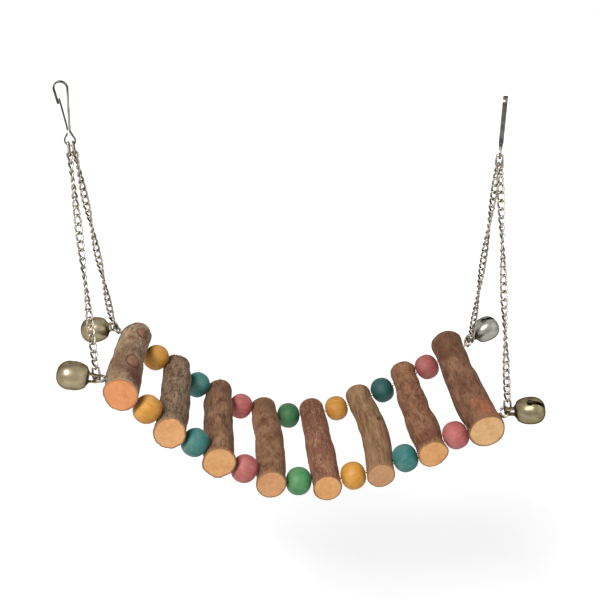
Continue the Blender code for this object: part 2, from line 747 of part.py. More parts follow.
def make_pellet(end, side, deck, parent):
    """The loose ball, lying at the low side of the bell's cavity."""
    frame = bell_frame(end, side, deck)
    radius = PELLET_DIAMETER / 2
    centre = frame @ Vector((STRAP_LENGTH + BELL_LENGTH - BELL_DIAMETER / 2, 0, 0))
    axis = frame.col[0].to_3d()
    low = Vector((0, 0, -1))
    low = (low - axis * low.dot(axis)).normalized()
    wall = (BELL_DIAMETER / 2 - BELL_WALL) * math.cos(math.pi / BELL_SIDES)
    centre += low * (wall - radius - FIT_GAP)
    turns = [math.pi * (i / PELLET_STEPS - 0.5) for i in range(1, PELLET_STEPS)]
    profile = [(radius * math.sin(t), radius * math.cos(t)) for t in turns]
    bm = bmesh.new()
    revolve(bm, [(-radius, 0)] + profile + [(radius, 0)], PELLET_SIDES)
    matrix = frame.copy()
    matrix.translation = centre
    make_object(f"{end}_{side}_bell_pellet", bm, "steel", matrix, parent)


def main():
    remove_all_objects()
    deck = Deck()
    chains = {(end, side): Chain(end, side, deck) for end in END_SIGN for side in SIDE_SIGN}
    eye_x, eye_z = clip_eye_centre()
    eyes = {end: clip_frame(end) @ Vector((eye_x, 0, eye_z)) for end in END_SIGN}
    swing_from = eyes["left"] - Vector((0, 0, CLIP_EYE_RADIUS))
    swing_axis = make_axis("swing_axis", swing_from, eyes["right"] - swing_from)
    deck_axis = make_axis("deck_axis", deck.eye_frame("left", "rear").translation, Vector((0, 1, 0)))
    for end in END_SIGN:
        make_clip(end)
        make_gate(end)
        for side in SIDE_SIGN:
            make_top_link(chains[end, side], swing_axis)
            make_chain(chains[end, side], swing_axis)
    for side in SIDE_SIGN:
        make_wire(side, deck, deck_axis)
        for number in range(1, len(RUNGS)):
            make_bead(number, side, deck, deck_axis)
    for number, rung in enumerate(RUNGS, 1):
        make_rung(number, rung, deck, deck_axis)
    for end in END_SIGN:
        for side in SIDE_SIGN:
            make_bell(end, side, deck, deck_axis)
            make_pellet(end, side, deck, deck_axis)


main()
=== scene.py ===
"""Visual model of a hanging bird ladder: bark-covered rungs, dyed beads, curb chains, hooks and bells.

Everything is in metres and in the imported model's own frame. Each operator makes one piece or one group of
like pieces, lets it ride on its body and hides the plain nodes that it stands for.
"""

import json
import math
from collections import namedtuple
from functools import partial

import bpy
import numpy as np
from bpy.props import FloatProperty, FloatVectorProperty, IntProperty, PointerProperty
from mathutils import Matrix, Vector, noise
from mathutils.bvhtree import BVHTree


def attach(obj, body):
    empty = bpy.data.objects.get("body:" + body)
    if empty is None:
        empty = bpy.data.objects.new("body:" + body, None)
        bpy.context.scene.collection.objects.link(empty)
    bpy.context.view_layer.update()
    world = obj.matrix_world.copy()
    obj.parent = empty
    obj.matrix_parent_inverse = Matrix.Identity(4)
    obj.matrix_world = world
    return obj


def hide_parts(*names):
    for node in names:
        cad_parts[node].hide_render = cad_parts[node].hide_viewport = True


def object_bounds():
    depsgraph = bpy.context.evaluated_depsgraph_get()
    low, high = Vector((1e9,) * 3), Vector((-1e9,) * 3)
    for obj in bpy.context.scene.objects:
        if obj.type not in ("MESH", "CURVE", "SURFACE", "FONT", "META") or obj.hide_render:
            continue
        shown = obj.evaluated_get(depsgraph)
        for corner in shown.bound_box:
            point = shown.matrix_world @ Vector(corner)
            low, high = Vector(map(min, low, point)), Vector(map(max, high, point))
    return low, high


bl_info = {
    "name": "Hanging Bird Ladder",
    "version": (1, 0, 0),
    "blender": (4, 5, 0),
    "location": "View3D > Sidebar > Bird Ladder",
    "description": "Builds the bark, beads, chains, hooks and bells of a hanging bird ladder",
    "category": "Object",
}

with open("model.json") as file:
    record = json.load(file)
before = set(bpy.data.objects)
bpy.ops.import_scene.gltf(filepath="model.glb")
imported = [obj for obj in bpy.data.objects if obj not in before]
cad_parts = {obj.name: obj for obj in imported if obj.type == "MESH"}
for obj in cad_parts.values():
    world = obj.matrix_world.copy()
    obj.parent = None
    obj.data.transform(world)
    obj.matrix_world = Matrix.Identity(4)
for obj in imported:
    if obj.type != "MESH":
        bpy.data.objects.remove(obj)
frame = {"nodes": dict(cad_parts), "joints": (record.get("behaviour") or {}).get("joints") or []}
CAD_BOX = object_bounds()
JOINTS = {joint["name"]: joint for joint in frame["joints"]}
ENDS = {"left": -1, "right": 1}
SIDES = {"front": -1, "rear": 1}
CORNERS = [(end, side) for end in ENDS for side in SIDES]
WHITE = (1, 1, 1, 1)

BEAD_DYES = ("yellow", "teal", "red", "green", "yellow", "teal", "red")
# How much painted shade darkens each bead, from 1 to 7; the rear beads, which lie in shade, take the most
PAINTED_BEAD_SHADE = {
    "front": (0.0, 0.15, 0.0, 0.0, 0.0, 0.10, 0.0),
    "rear": (0.02, 0.0, 0.08, 0.60, 0.15, 0.85, 0.25),
}

# A knot: place along the rung, direction in degrees, height, width and how much of it is healed wood
Knot = namedtuple("Knot", "along angle height width healed")
# A stain: place along the rung, direction in degrees, half length, half width, strength and colour
Stain = namedtuple("Stain", "along angle length width share colour")
# A rung's bark: base, dark and light colour, a patch colour and its share, depth of fissures and of
# lumps, stretch of the grain along the rung, cut-face colour, knots, stains, sideways bow of the middle
# and its lean to the front, the share by which the front end and the whole rung are fuller, and how
# strongly the bark is mottled. Fissures of less than 0 are pale ridges.
Bark = namedtuple(
    "Bark", "base dark light patch share fissure lump stretch cut knots stains bow lean front body mottled",
    defaults=((), (), 0.0, 0.0, 0.0, 0.0, 0.90),
)


def srgb(red, green, blue):
    """A colour as it is read off a screen, 0 to 255, as the linear values that a shader takes."""
    values = (value / 255 for value in (red, green, blue))
    return tuple(v / 12.92 if v <= 0.04045 else ((v + 0.055) / 1.055) ** 2.4 for v in values)


BARKS = (
    Bark(
        srgb(168, 139, 110), srgb(94, 64, 46), srgb(198, 172, 142), srgb(134, 90, 66), 0.45,
        0.00022, 0.0014, 0.22, srgb(229, 154, 102),
        knots=(Knot(-0.0141, 62, 0.0014, 0.0044, 1.0), Knot(0.0270, 57, 0.0010, 0.0034, 0.9)),
        stains=(
            Stain(-0.0285, 48, 0.0115, 0.0062, 0.85, srgb(108, 64, 48)),
            Stain(-0.0270, 86, 0.0085, 0.0050, 0.65, srgb(116, 74, 54)),
            Stain(-0.0120, 116, 0.0120, 0.0060, 0.50, srgb(136, 92, 66)),
        ),
        front=0.03, mottled=1.0,
    ),
    Bark(
        srgb(144, 118, 94), srgb(88, 64, 47), srgb(174, 149, 121), srgb(120, 94, 70), 0.25,
        0.00060, 0.0008, 0.17, srgb(230, 173, 120), front=0.05, body=0.05, mottled=1.0,
    ),
    Bark(
        srgb(145, 104, 77), srgb(72, 45, 31), srgb(178, 139, 107), srgb(112, 83, 60), 0.40,
        0.00020, 0.0010, 0.16, srgb(226, 172, 118),
        knots=(Knot(-0.0395, 262, 0.0009, 0.0030, 0.0), Knot(-0.0395, 190, 0.0006, 0.0030, 0.0)),
        stains=(Stain(0.0280, 80, 0.0120, 0.0060, 0.45, srgb(98, 67, 48)),),
        front=0.06, body=0.08,
    ),
    Bark(
        srgb(149, 108, 78), srgb(84, 53, 36), srgb(178, 137, 104), srgb(110, 75, 53), 0.32,
        0.00012, 0.0008, 0.35, srgb(220, 164, 118),
        knots=(Knot(0.0115, 104, 0.0004, 0.0030, 0.0),),
        stains=(
            Stain(0.0115, 104, 0.0034, 0.0024, 0.85, srgb(92, 55, 36)),
            Stain(-0.0080, 96, 0.0050, 0.0030, 0.50, srgb(112, 73, 50)),
            Stain(0.0310, 84, 0.0100, 0.0070, 0.45, srgb(108, 73, 50)),
        ),
        bow=0.0013, lean=0.1, front=0.08, body=0.02,
    ),
    Bark(
        srgb(137, 90, 70), srgb(86, 49, 37), srgb(212, 164, 130), srgb(116, 71, 56), 0.30,
        -0.00030, 0.0006, 0.10, srgb(232, 174, 114),
        stains=(Stain(0.0210, 98, 0.0170, 0.0110, 0.40, srgb(106, 66, 50)),),
        front=0.06, body=0.02, mottled=0.28,
    ),
    Bark(
        srgb(154, 117, 84), srgb(98, 67, 44), srgb(186, 149, 114), srgb(134, 99, 70), 0.30,
        0.00018, 0.0007, 0.08, srgb(206, 158, 116),
        knots=(Knot(-0.0013, 73, 0.0007, 0.0022, 0.0),),
        stains=(
            Stain(-0.0013, 73, 0.0017, 0.0012, 0.95, srgb(72, 43, 28)),
            Stain(0.0020, 64, 0.0012, 0.0010, 0.85, srgb(82, 49, 32)),
            Stain(-0.0120, 58, 0.0090, 0.0030, 0.40, srgb(150, 89, 62)),
        ),
        bow=0.0018, lean=0.6, body=0.07,
    ),
    Bark(
        srgb(146, 103, 76), srgb(86, 53, 36), srgb(180, 135, 102), srgb(164, 110, 80), 0.40,
        0.00028, 0.0015, 0.20, srgb(234, 175, 118),
        knots=(Knot(-0.0090, 76, 0.0008, 0.0042, 0.0), Knot(0.0130, 120, 0.0008, 0.0042, 0.0)),
        stains=(
            Stain(-0.0330, 116, 0.0060, 0.0070, 0.60, srgb(112, 63, 44)),
            Stain(-0.0090, 76, 0.0050, 0.0030, 0.45, srgb(120, 71, 50)),
            Stain(0.0130, 120, 0.0050, 0.0030, 0.40, srgb(172, 109, 76)),
        ),
        front=0.05, body=0.08, mottled=0.75,
    ),
    Bark(
        srgb(131, 91, 67), srgb(66, 40, 28), srgb(164, 123, 95), srgb(112, 74, 52), 0.45,
        0.00012, 0.0009, 0.16, srgb(238, 190, 136),
        stains=(
            Stain(-0.0350, 78, 0.0110, 0.0070, 0.60, srgb(182, 113, 78)),
            Stain(0.0300, 100, 0.0160, 0.0130, 0.55, srgb(96, 61, 42)),
            Stain(-0.0100, 128, 0.0120, 0.0040, 0.45, srgb(96, 63, 44)),
        ),
        bow=-0.0011, front=0.09, body=0.04, mottled=1.0,
    ),
)

Length = partial(FloatProperty, unit="LENGTH")
Angle = partial(FloatProperty, subtype="ANGLE")
Colour = partial(FloatVectorProperty, subtype="COLOR")


class RungSettings(bpy.types.PropertyGroup):
    around: IntProperty(name="Around", description="Points round a rung", default=132, min=24)
    along: IntProperty(name="Along", description="Rows of points along a rung", default=150, min=40)
    relief: FloatProperty(
        name="Bark relief", description="Share of each bark's fissures and lumps",
        default=1.0, subtype="FACTOR",
    )
    edge: Length(name="Sawn edge", description="Width of the broken edge round a cut face", default=0.0004)
    saw_marks: Length(name="Saw marks", description="Height of the marks on a cut face", default=0.00012)
    knot_colour: Colour(name="Knot", description="Colour of the healed knots", default=srgb(184, 126, 100))


class BeadSettings(bpy.types.PropertyGroup):
    yellow: Colour(name="Yellow dye", description="Colour of the yellow beads", default=srgb(218, 152, 54))
    teal: Colour(name="Teal dye", description="Colour of the teal beads", default=srgb(46, 124, 118))
    red: Colour(name="Red dye", description="Colour of the red beads", default=srgb(188, 98, 97))
    green: Colour(name="Green dye", description="Colour of the green beads", default=srgb(62, 137, 80))
    bore: Length(name="Bore", description="Diameter of the hole", default=0.0033)
    fullness: FloatProperty(
        name="Fullness", description="2 is an ellipse, and more is nearer to a barrel", default=2.2, min=2.0
    )
    wobble: Length(name="Wobble", description="How far a bead is out of round", default=0.00028)


class ChainSettings(bpy.types.PropertyGroup):
    pitch: Length(name="Pitch", description="Length that each link adds", default=0.0041)
    wire: Length(name="Link wire", description="Thickness of the link wire", default=0.00104)
    half_width: Length(name="Half width", description="From a link's middle to its wire", default=0.00145)
    half_twist: Angle(
        name="Half twist", description="Twist of a link from its middle to its end", default=math.radians(45)
    )
    turn: Angle(
        name="Turn per link", description="Turn of the chain from link to link", default=math.radians(18)
    )
    colour: Colour(name="Chain", description="Colour of the plated links", default=srgb(184, 174, 160))


class HookSettings(bpy.types.PropertyGroup):
    span: Length(name="Span", description="From hook to hook", default=0.2030)
    stagger: Length(name="Stagger", description="Right hook nearer by", default=0.0042)
    drop: Length(name="Drop", description="Right hook lower by", default=0.0052)
    right_turn: Angle(name="Right turn", description="Turn of the right hook", default=math.radians(71))
    right_lean: Angle(
        name="Right lean", description="Lean of the right hook's top to the rear", default=math.radians(6)
    )
    colour: Colour(name="Strip", description="Colour of the bent strip", default=srgb(160, 155, 143))
    gate_colour: Colour(name="Gate", description="Colour of the sprung leaf", default=srgb(92, 93, 90))


class BellSettings(bpy.types.PropertyGroup):
    diameter: Length(name="Diameter", description="Across a bell", default=0.0140)
    length: Length(name="Length", description="From crown to far end", default=0.0152)
    wall: Length(name="Wall", description="Thickness of the sheet", default=0.0007)
    slot: Length(name="Slot", description="Width of the slot", default=0.0021)
    brass: Colour(name="Aged brass", description="Colour of the brass bells", default=srgb(146, 134, 107))
    nickel: Colour(name="Nickel", description="Colour of the silvery bell", default=srgb(146, 146, 137))


class StageSettings(bpy.types.PropertyGroup):
    floor_height: Length(
        name="Floor height", description="Height of the floor below the hooks", default=-0.42
    )
    floor_colour: Colour(name="Floor", description="Colour of the floor", default=(0.75, 0.75, 0.75))
    ambient: FloatProperty(name="Ambient", description="Strength of the light all round", default=0.21)
    key_power: FloatProperty(name="Key light", description="Power of the main lamp in watts", default=15.2)
    fill_power: FloatProperty(name="Fill light", description="Power of the second lamp in watts", default=1.6)
    lens: FloatProperty(
        name="Lens", description="Focal length in millimetres", default=51.18, subtype="DISTANCE_CAMERA"
    )


class LadderSettings(bpy.types.PropertyGroup):
    rungs: PointerProperty(type=RungSettings, name="Rungs", description="Sizes and colours of the rungs")
    beads: PointerProperty(type=BeadSettings, name="Beads", description="Sizes and dyes of the beads")
    chains: PointerProperty(type=ChainSettings, name="Chains", description="Sizes of the chain links")
    hooks: PointerProperty(type=HookSettings, name="Hooks", description="Places and colours of the hooks")
    bells: PointerProperty(type=BellSettings, name="Bells", description="Sizes and colours of the bells")
    stage: PointerProperty(type=StageSettings, name="Stage", description="Floor, light and camera")


class Nodes:
    """A node tree that is built from its output back to its textures."""

    def __init__(self, tree):
        self.tree = tree

    def node(self, kind, inputs=None, **settings):
        made = self.tree.nodes.new(kind)
        for key, value in settings.items():
            setattr(made, key, value)
        for key, value in (inputs or {}).items():
            self.put(made.inputs[key], value)
        return made

    def put(self, socket, value):
        if isinstance(value, bpy.types.NodeSocket):
            self.tree.links.new(value, socket)
        else:
            socket.default_value = value

    def range(self, value, low, high, to_low=0.0, to_high=1.0):
        made = self.node(
            "ShaderNodeMapRange",
            {"Value": value, "From Min": low, "From Max": high, "To Min": to_low, "To Max": to_high},
        )
        return made.outputs["Result"]

    def math(self, operation, *values):
        return self.node("ShaderNodeMath", dict(enumerate(values)), operation=operation).outputs[0]

    def seen(self):
        """1 for the rays that show the background itself, straight or in metal."""
        path = self.node("ShaderNodeLightPath").outputs
        either = self.math("MAXIMUM", path["Is Camera Ray"], path["Is Glossy Ray"])
        return self.math("MAXIMUM", either, path["Is Transmission Ray"])


class Shader(Nodes):
    """A material, and what its finish is put together from."""

    def __init__(self, name, kept=False):
        """A kept node's texture lies on its object's coordinates, a made piece's on its own ones."""
        self.material = bpy.data.materials.new(name)
        self.material.use_nodes = True
        super().__init__(self.material.node_tree)
        self.surface = self.tree.nodes["Principled BSDF"]
        if kept:
            self.place = self.node("ShaderNodeTexCoord").outputs["Object"]
        else:
            self.place = self.attribute("own", "Vector")

    def set(self, **values):
        for key, value in values.items():
            self.put(self.surface.inputs[key.replace("_", " ")], value)

    def noise(self, scale, detail=4, stretch=(1, 1, 1), shift=0.0, rough=0.55):
        """Noise over the piece's own coordinates, scale in features a metre."""
        place = self.node(
            "ShaderNodeMapping", {"Vector": self.place, "Scale": stretch, "Location": (shift, shift, shift)}
        )
        made = self.node(
            "ShaderNodeTexNoise",
            {"Vector": place.outputs[0], "Scale": scale, "Detail": detail, "Roughness": rough},
        )
        return made.outputs["Fac"]

    def attribute(self, name, output="Fac"):
        return self.node("ShaderNodeAttribute", attribute_name=name).outputs[output]

    def plus(self, value, other, weight):
        """A value, and another times its weight."""
        return self.math("ADD", value, self.math("MULTIPLY", other, weight))

    def ramp(self, value, *stops):
        """A colour ramp through (place, colour) stops."""
        made = self.node("ShaderNodeValToRGB", {"Fac": value})
        elements = made.color_ramp.elements
        while len(elements) < len(stops):
            elements.new(1.0)
        for element, (place, colour) in zip(elements, stops):
            element.position = place
            element.color = (*colour, 1)
        return made.outputs["Color"]

    def mix(self, share, one, other, blend="MIX"):
        made = self.node("ShaderNodeMix", data_type="RGBA", blend_type=blend)
        for socket, value in zip((made.inputs[0], made.inputs[6], made.inputs[7]), (share, one, other)):
            self.put(socket, (*value, 1) if isinstance(value, tuple) else value)
        return made.outputs[2]

    def layer(self, under, over, value, low, high, share):
        """A colour over another: none of it where the value is low, up to a share where it is high."""
        return self.mix(self.range(value, low, high, 0, share), under, over)

    def bump(self, height, strength, distance):
        made = self.node("ShaderNodeBump", {"Height": height, "Strength": strength, "Distance": distance})
        self.set(Normal=made.outputs["Normal"])


def scaled(colour, factor):
    return tuple(min(1.0, value * factor) for value in colour)


def blended(one, other, share):
    return tuple(a + (b - a) * share for a, b in zip(one, other))


def bark_finish(number, bark, knot_colour):
    """Bark: long grain, mottling, patches, pale streaks, stains, knots, fissures, specks and flakes."""
    shader = Shader(f"bark_{number}")
    shift = 0.37 * number
    streak = (1, min(0.5, 2.2 * bark.stretch), 1)
    grain = shader.noise(950, 7, (1, bark.stretch, 1), shift, 0.62)
    mottle = shader.noise(260, 6, (1, min(0.6, 2.0 * bark.stretch), 1), shift + 0.3, 0.62)
    blotch = shader.noise(105, 4, (1, 0.35, 1), shift + 0.1)
    bare = shader.noise(190, 4, streak, shift + 0.6)
    specks = shader.noise(2300, 3, (1, 0.7, 1), shift)
    flakes = shader.noise(620, 5, streak, shift + 0.8, 0.65)
    tone = shader.plus(shader.math("MULTIPLY", grain, 0.5), mottle, 0.5)
    dark = blended(bark.base, bark.dark, bark.mottled)
    light = blended(bark.base, bark.light, bark.mottled)
    lines = scaled(bark.dark, 0.62) if bark.fissure > 0 else bark.light
    colour = shader.ramp(tone, (0.37, dark), (0.48, bark.base), (0.61, light))
    colour = shader.layer(colour, bark.patch, blotch, 0.47, 0.60, bark.share)
    colour = shader.layer(colour, scaled(bark.light, 1.08), bare, 0.50, 0.66, 0.40 * bark.mottled)
    colour = shader.mix(shader.attribute("stain", "Alpha"), colour, shader.attribute("stain", "Color"))
    colour = shader.mix(shader.attribute("knot"), colour, knot_colour)
    colour = shader.layer(colour, lines, shader.attribute("depth"), 0.1, 0.8, 0.85)
    fleck = shader.ramp(specks, (0.30, (0.66, 0.64, 0.62)), (0.48, (1, 1, 1)))
    colour = shader.mix(0.8, colour, fleck, "MULTIPLY")
    colour = shader.layer(colour, scaled(bark.dark, 0.85), flakes, 0.44, 0.34, 0.6)
    rough = shader.range(grain, 0.3, 0.7, 0.92, 0.72)
    shader.set(Base_Color=colour, Roughness=rough, Specular_IOR_Level=0.25)
    shader.bump(shader.plus(shader.math("MULTIPLY", tone, 0.7), specks, 0.3), 0.65, 0.0006)
    return shader.material


def cut_finish(number, bark):
    """A sawn end: growth rings round the pith, blotches, chips, fibres and a rim of bark."""
    shader = Shader(f"cut_face_{number}")
    reach = shader.attribute("reach")
    wander = shader.noise(260, 3, shift=0.21 * number)
    fibres = shader.noise(2100, 5, (1, 0.4, 1), 0.3)
    blotch = shader.noise(150, 3, shift=0.5 + 0.3 * number)
    chips = shader.noise(520, 5, shift=0.8 + 0.2 * number, rough=0.65)
    rings = shader.math("SINE", shader.plus(shader.math("MULTIPLY", reach, 34.0), wander, 22.0))
    deep = tuple(value * share for value, share in zip(bark.cut, (0.86, 0.76, 0.64)))
    colour = shader.ramp(rings, (0.15, scaled(bark.cut, 1.08)), (0.95, deep))
    colour = shader.mix(shader.range(blotch, 0.35, 0.65, 0.05, 0.45), bark.cut, colour)
    colour = shader.layer(colour, deep, blotch, 0.40, 0.62, 0.75)
    colour = shader.layer(colour, scaled(bark.cut, 1.30), chips, 0.48, 0.66, 0.42)
    colour = shader.layer(colour, scaled(deep, 0.80), chips, 0.44, 0.30, 0.36)
    colour = shader.layer(colour, scaled(bark.cut, 1.22), fibres, 0.35, 0.75, 0.30)
    colour = shader.layer(colour, scaled(deep, 0.45), shader.plus(reach, wander, 0.10), 0.12, 0.05, 0.75)
    rim = shader.plus(reach, blotch, 0.10)
    colour = shader.layer(colour, blended(bark.cut, bark.dark, 0.75), rim, 0.925, 0.965, 0.75)
    colour = shader.layer(colour, bark.base, rim, 0.975, 1.010, 0.90)
    rough = shader.range(fibres, 0.3, 0.7, 0.88, 0.68)
    shader.set(Base_Color=colour, Roughness=rough, Specular_IOR_Level=0.2)
    shader.bump(shader.plus(fibres, rings, 0.15), 0.35, 0.0003)
    return shader.material


def dye_finish(name, dye):
    """Dyed wood: grain along the bore, uneven uptake of the dye, open pores, a dull rubbed surface and painted
    shade.
    """
    shader = Shader(name)
    grain = shader.noise(900, 6, (0.18, 1, 1), 0.4)
    uptake = shader.noise(150, 3, (0.8, 1, 1), 0.9)
    pores = shader.noise(3200, 2, (0.22, 1, 1), 0.2)
    worn = blended(dye, (0.75, 0.66, 0.50), 0.25)
    colour = shader.ramp(grain, (0.28, scaled(dye, 0.66)), (0.50, dye), (0.76, scaled(dye, 1.24)))
    colour = shader.layer(colour, scaled(dye, 0.78), uptake, 0.36, 0.66, 0.45)
    colour = shader.layer(colour, worn, uptake, 0.60, 0.30, 0.45)
    colour = shader.layer(colour, scaled(dye, 0.45), pores, 0.36, 0.22, 0.5)
    # Painted shade: the dyed value darkens a bead towards a third of its dye.
    colour = shader.mix(shader.attribute("dyed"), colour, scaled(dye, 0.30))
    rough = shader.range(grain, 0.3, 0.7, 0.66, 0.48)
    shader.set(Base_Color=colour, Roughness=rough, Specular_IOR_Level=0.4)
    shader.bump(shader.plus(grain, pores, 0.6), 0.28, 0.0003)
    return shader.material


def metal_finish(name, colour, rough, tarnish, cloud=170, fine=1500, edge=(0.35, 0.33, 0.28), kept=False):
    """Plated metal with cloudy tarnish, painted shade and painted reflections read from each point, fine marks
    and uneven gloss.
    """
    shader = Shader(name, kept)
    clouds = shader.noise(cloud, shift=0.7)
    marks = shader.noise(fine, shift=0.3)
    tint = shader.ramp(clouds, (0.32, scaled(colour, tarnish)), (0.52, colour), (0.75, scaled(colour, 1.25)))
    tint = shader.layer(tint, scaled(colour, 0.40), marks, 0.40, 0.24, 0.55)
    # Painted shade and painted reflections: each point's value darkens the metal towards a tenth of its
    # colour.
    tint = shader.mix(shader.attribute("grime"), tint, scaled(colour, 0.10))
    gloss = shader.range(clouds, 0.3, 0.7, rough * 1.25, rough * 0.8)
    # Painted reflection: the dark edge tint darkens the metal at its rims, as dark surroundings mirrored there
    # would.
    shader.set(
        Base_Color=tint, Specular_Tint=(*edge, 1), Metallic=1.0,
        Roughness=shader.math("ADD", gloss, shader.range(marks, 0.3, 0.7, 0, 0.08)),
    )
    shader.bump(marks, 0.10, 0.0002)
    return shader.material


def clamped(value):
    return min(1.0, max(0.0, value))


def hump(distance, width):
    """1 at a distance of 0, falling off over a width."""
    return math.exp(-((distance / width) ** 2))


def ripple(x, y, z):
    """Smooth noise at a point, from about -1 to 1."""
    return noise.noise(Vector((x, y, z)))


def coordinates(mesh):
    points = np.empty(len(mesh.vertices) * 3)
    mesh.vertices.foreach_get("co", points)
    return points.reshape(-1, 3)


def frame_matrix(origin, x_axis, y_axis):
    """A right-handed frame whose Y is y_axis and whose X is as near to x_axis as it can be."""
    y_axis = y_axis.normalized()
    x_axis = (x_axis - y_axis * x_axis.dot(y_axis)).normalized()
    matrix = Matrix((x_axis, y_axis, x_axis.cross(y_axis))).transposed().to_4x4()
    matrix.translation = origin
    return matrix


class Solid:
    """Points and faces that are gathered for one piece, each face with the number of its finish."""

    def __init__(self):
        self.points = []
        self.faces = []
        self.kinds = []

    def face(self, indices, kind=0):
        self.faces.append(tuple(indices))
        self.kinds.append(kind)

    def band(self, low, high, count, kind=0):
        """Faces from one row of points to the next, by the index of each row's first point."""
        for j in range(count):
            k = (j + 1) % count
            self.face((low + j, low + k, high + k, high + j), kind)

    def skin(self, rows, closed_rows=False, kind=0):
        """Skins rows of points that each close on themselves; returns the index of the first point."""
        first = len(self.points)
        count = len(rows[0])
        self.points.extend(point for row in rows for point in row)
        for i in range(len(rows) - (0 if closed_rows else 1)):
            self.band(first + i * count, first + (i + 1) % len(rows) * count, count, kind)
        return first

    def close(self, first, count, rows):
        """Caps the first and the last of a skin's rows."""
        last = first + (rows - 1) * count
        self.face(range(first + count - 1, first - 1, -1))
        self.face(range(last, last + count))

    def sweep(self, path, section, across, closed=False):
        """Carries section(i) along a path, across(i) being the direction of its first axis."""
        rows = []
        for i, point in enumerate(path):
            before = path[i - 1] if closed or i else point
            after = path[(i + 1) % len(path)] if closed or i + 1 < len(path) else point
            along = (after - before).normalized()
            first = across(i)
            first = (first - along * first.dot(along)).normalized()
            second = along.cross(first)
            rows.append([point + first * a + second * b for a, b in section(i)])
        start = self.skin(rows, closed)
        if not closed:
            self.close(start, len(rows[0]), len(rows))

    def mesh(self, name, sharp=None):
        made = bpy.data.meshes.new(name)
        made.from_pydata([tuple(point) for point in self.points], [], self.faces)
        made.polygons.foreach_set("material_index", self.kinds)
        made.shade_smooth()
        if sharp:
            made.set_sharp_from_angle(angle=math.radians(sharp))
        made.update()
        return made


def linked(name, data):
    """A new object in the scene."""
    made = bpy.data.objects.new(name, data)
    bpy.context.scene.collection.objects.link(made)
    return made


def add_piece(name, mesh, finishes, body, nodes=(), matrix=None):
    """Links a mesh as a piece that rides on a body and stands for nodes.

    The mesh keeps its own coordinates for its finish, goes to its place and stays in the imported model's box.
    """
    points = coordinates(mesh).astype(np.float32)
    mesh.attributes.new("own", "FLOAT_VECTOR", "POINT").data.foreach_set("vector", points.ravel())
    if matrix:
        mesh.transform(matrix)
    inside = np.clip(coordinates(mesh), CAD_BOX[0], CAD_BOX[1])
    mesh.vertices.foreach_set("co", inside.ravel())
    mesh.update()
    for finish in finishes:
        mesh.materials.append(finish)
    piece = linked(name, mesh)
    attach(piece, body)
    if nodes:
        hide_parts(*nodes)


def note(mesh, name, values):
    """Keeps a value or a colour for each point of a mesh, for its finish to read."""
    values = np.array(values, np.float32)
    if values.ndim == 1:
        mesh.attributes.new(name, "FLOAT", "POINT").data.foreach_set("value", values)
    else:
        mesh.attributes.new(name, "FLOAT_COLOR", "POINT").data.foreach_set("color", values.ravel())


def circle(radius, count):
    turns = [math.tau * i / count for i in range(count)]
    return [(radius * math.cos(t), radius * math.sin(t)) for t in turns]


def rounded_strip(width, thickness, steps=4):
    """A strip's section with rounded edges, width along the first axis."""
    radius = thickness * 0.45
    corners = ((1, 1, 0), (-1, 1, 90), (-1, -1, 180), (1, -1, 270))
    points = []
    for x, y, start in corners:
        for i in range(steps + 1):
            turn = math.radians(start + 90 * i / steps)
            points.append((
                x * (width / 2 - radius) + radius * math.cos(turn),
                y * (thickness / 2 - radius) + radius * math.sin(turn),
            ))
    return points


def arc(centre, radius, start, end, steps):
    turns = [math.radians(start + (end - start) * i / steps) for i in range(steps + 1)]
    return [(centre[0] + radius * math.cos(t), centre[1] + radius * math.sin(t)) for t in turns]


class RungShape:
    """A rung's own frame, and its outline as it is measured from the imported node."""

    STATIONS = 17
    RAYS = 36
    WAVES = 4
    BEND = 6
    END_SLICE = 2e-4
    # Share of the half length that is measured, and of the middle radius below which a ray is in a bore
    MEASURED = 0.96
    IN_BORE = 0.75

    def __init__(self, node):
        mesh = frame["nodes"][node].data
        points = coordinates(mesh)
        spread = points - points.mean(0)
        main = np.linalg.svd(spread, full_matrices=False)[2][0]
        main = main * np.sign(main[1])
        reach = points @ main
        near = points[reach < reach.min() + self.END_SLICE].mean(0)
        far = points[reach > reach.max() - self.END_SLICE].mean(0)
        axis = Vector(far - near)
        self.half = axis.length / 2
        self.matrix = frame_matrix(Vector((near + far) / 2), Vector((1, 0, 0)), axis)
        self.measure(mesh)

    def measure(self, mesh):
        """Fits the outline's waves along the rung to rays cast from its axis, away from the bores."""
        tree = BVHTree.FromPolygons(
            [vertex.co for vertex in mesh.vertices], [tuple(face.vertices) for face in mesh.polygons]
        )
        turns = np.arange(self.RAYS) * math.tau / self.RAYS
        places = []
        waves = []
        for y in np.linspace(-self.MEASURED, self.MEASURED, self.STATIONS) * self.half:
            origin = self.matrix @ Vector((0, y, 0))
            hits = []
            for turn in turns:
                ray = self.matrix.to_3x3() @ Vector((math.cos(turn), 0, math.sin(turn)))
                distance = tree.ray_cast(origin, ray)[3]
                hits.append(distance or np.nan)
            hits = np.array(hits)
            if np.isnan(hits).any() or hits.min() < self.IN_BORE * np.median(hits):
                continue
            places.append(y / self.half)
            waves.append(np.fft.rfft(hits)[: self.WAVES + 1] / self.RAYS)
        self.fit = np.polyfit(places, np.array(waves), self.BEND)

    def radius(self, turns, y):
        waves = np.array([np.polyval(self.fit[:, k], y / self.half) for k in range(self.WAVES + 1)])
        radius = np.full(len(turns), waves[0].real)
        for k in range(1, self.WAVES + 1):
            radius += 2 * (waves[k] * np.exp(1j * k * turns)).real
        return radius


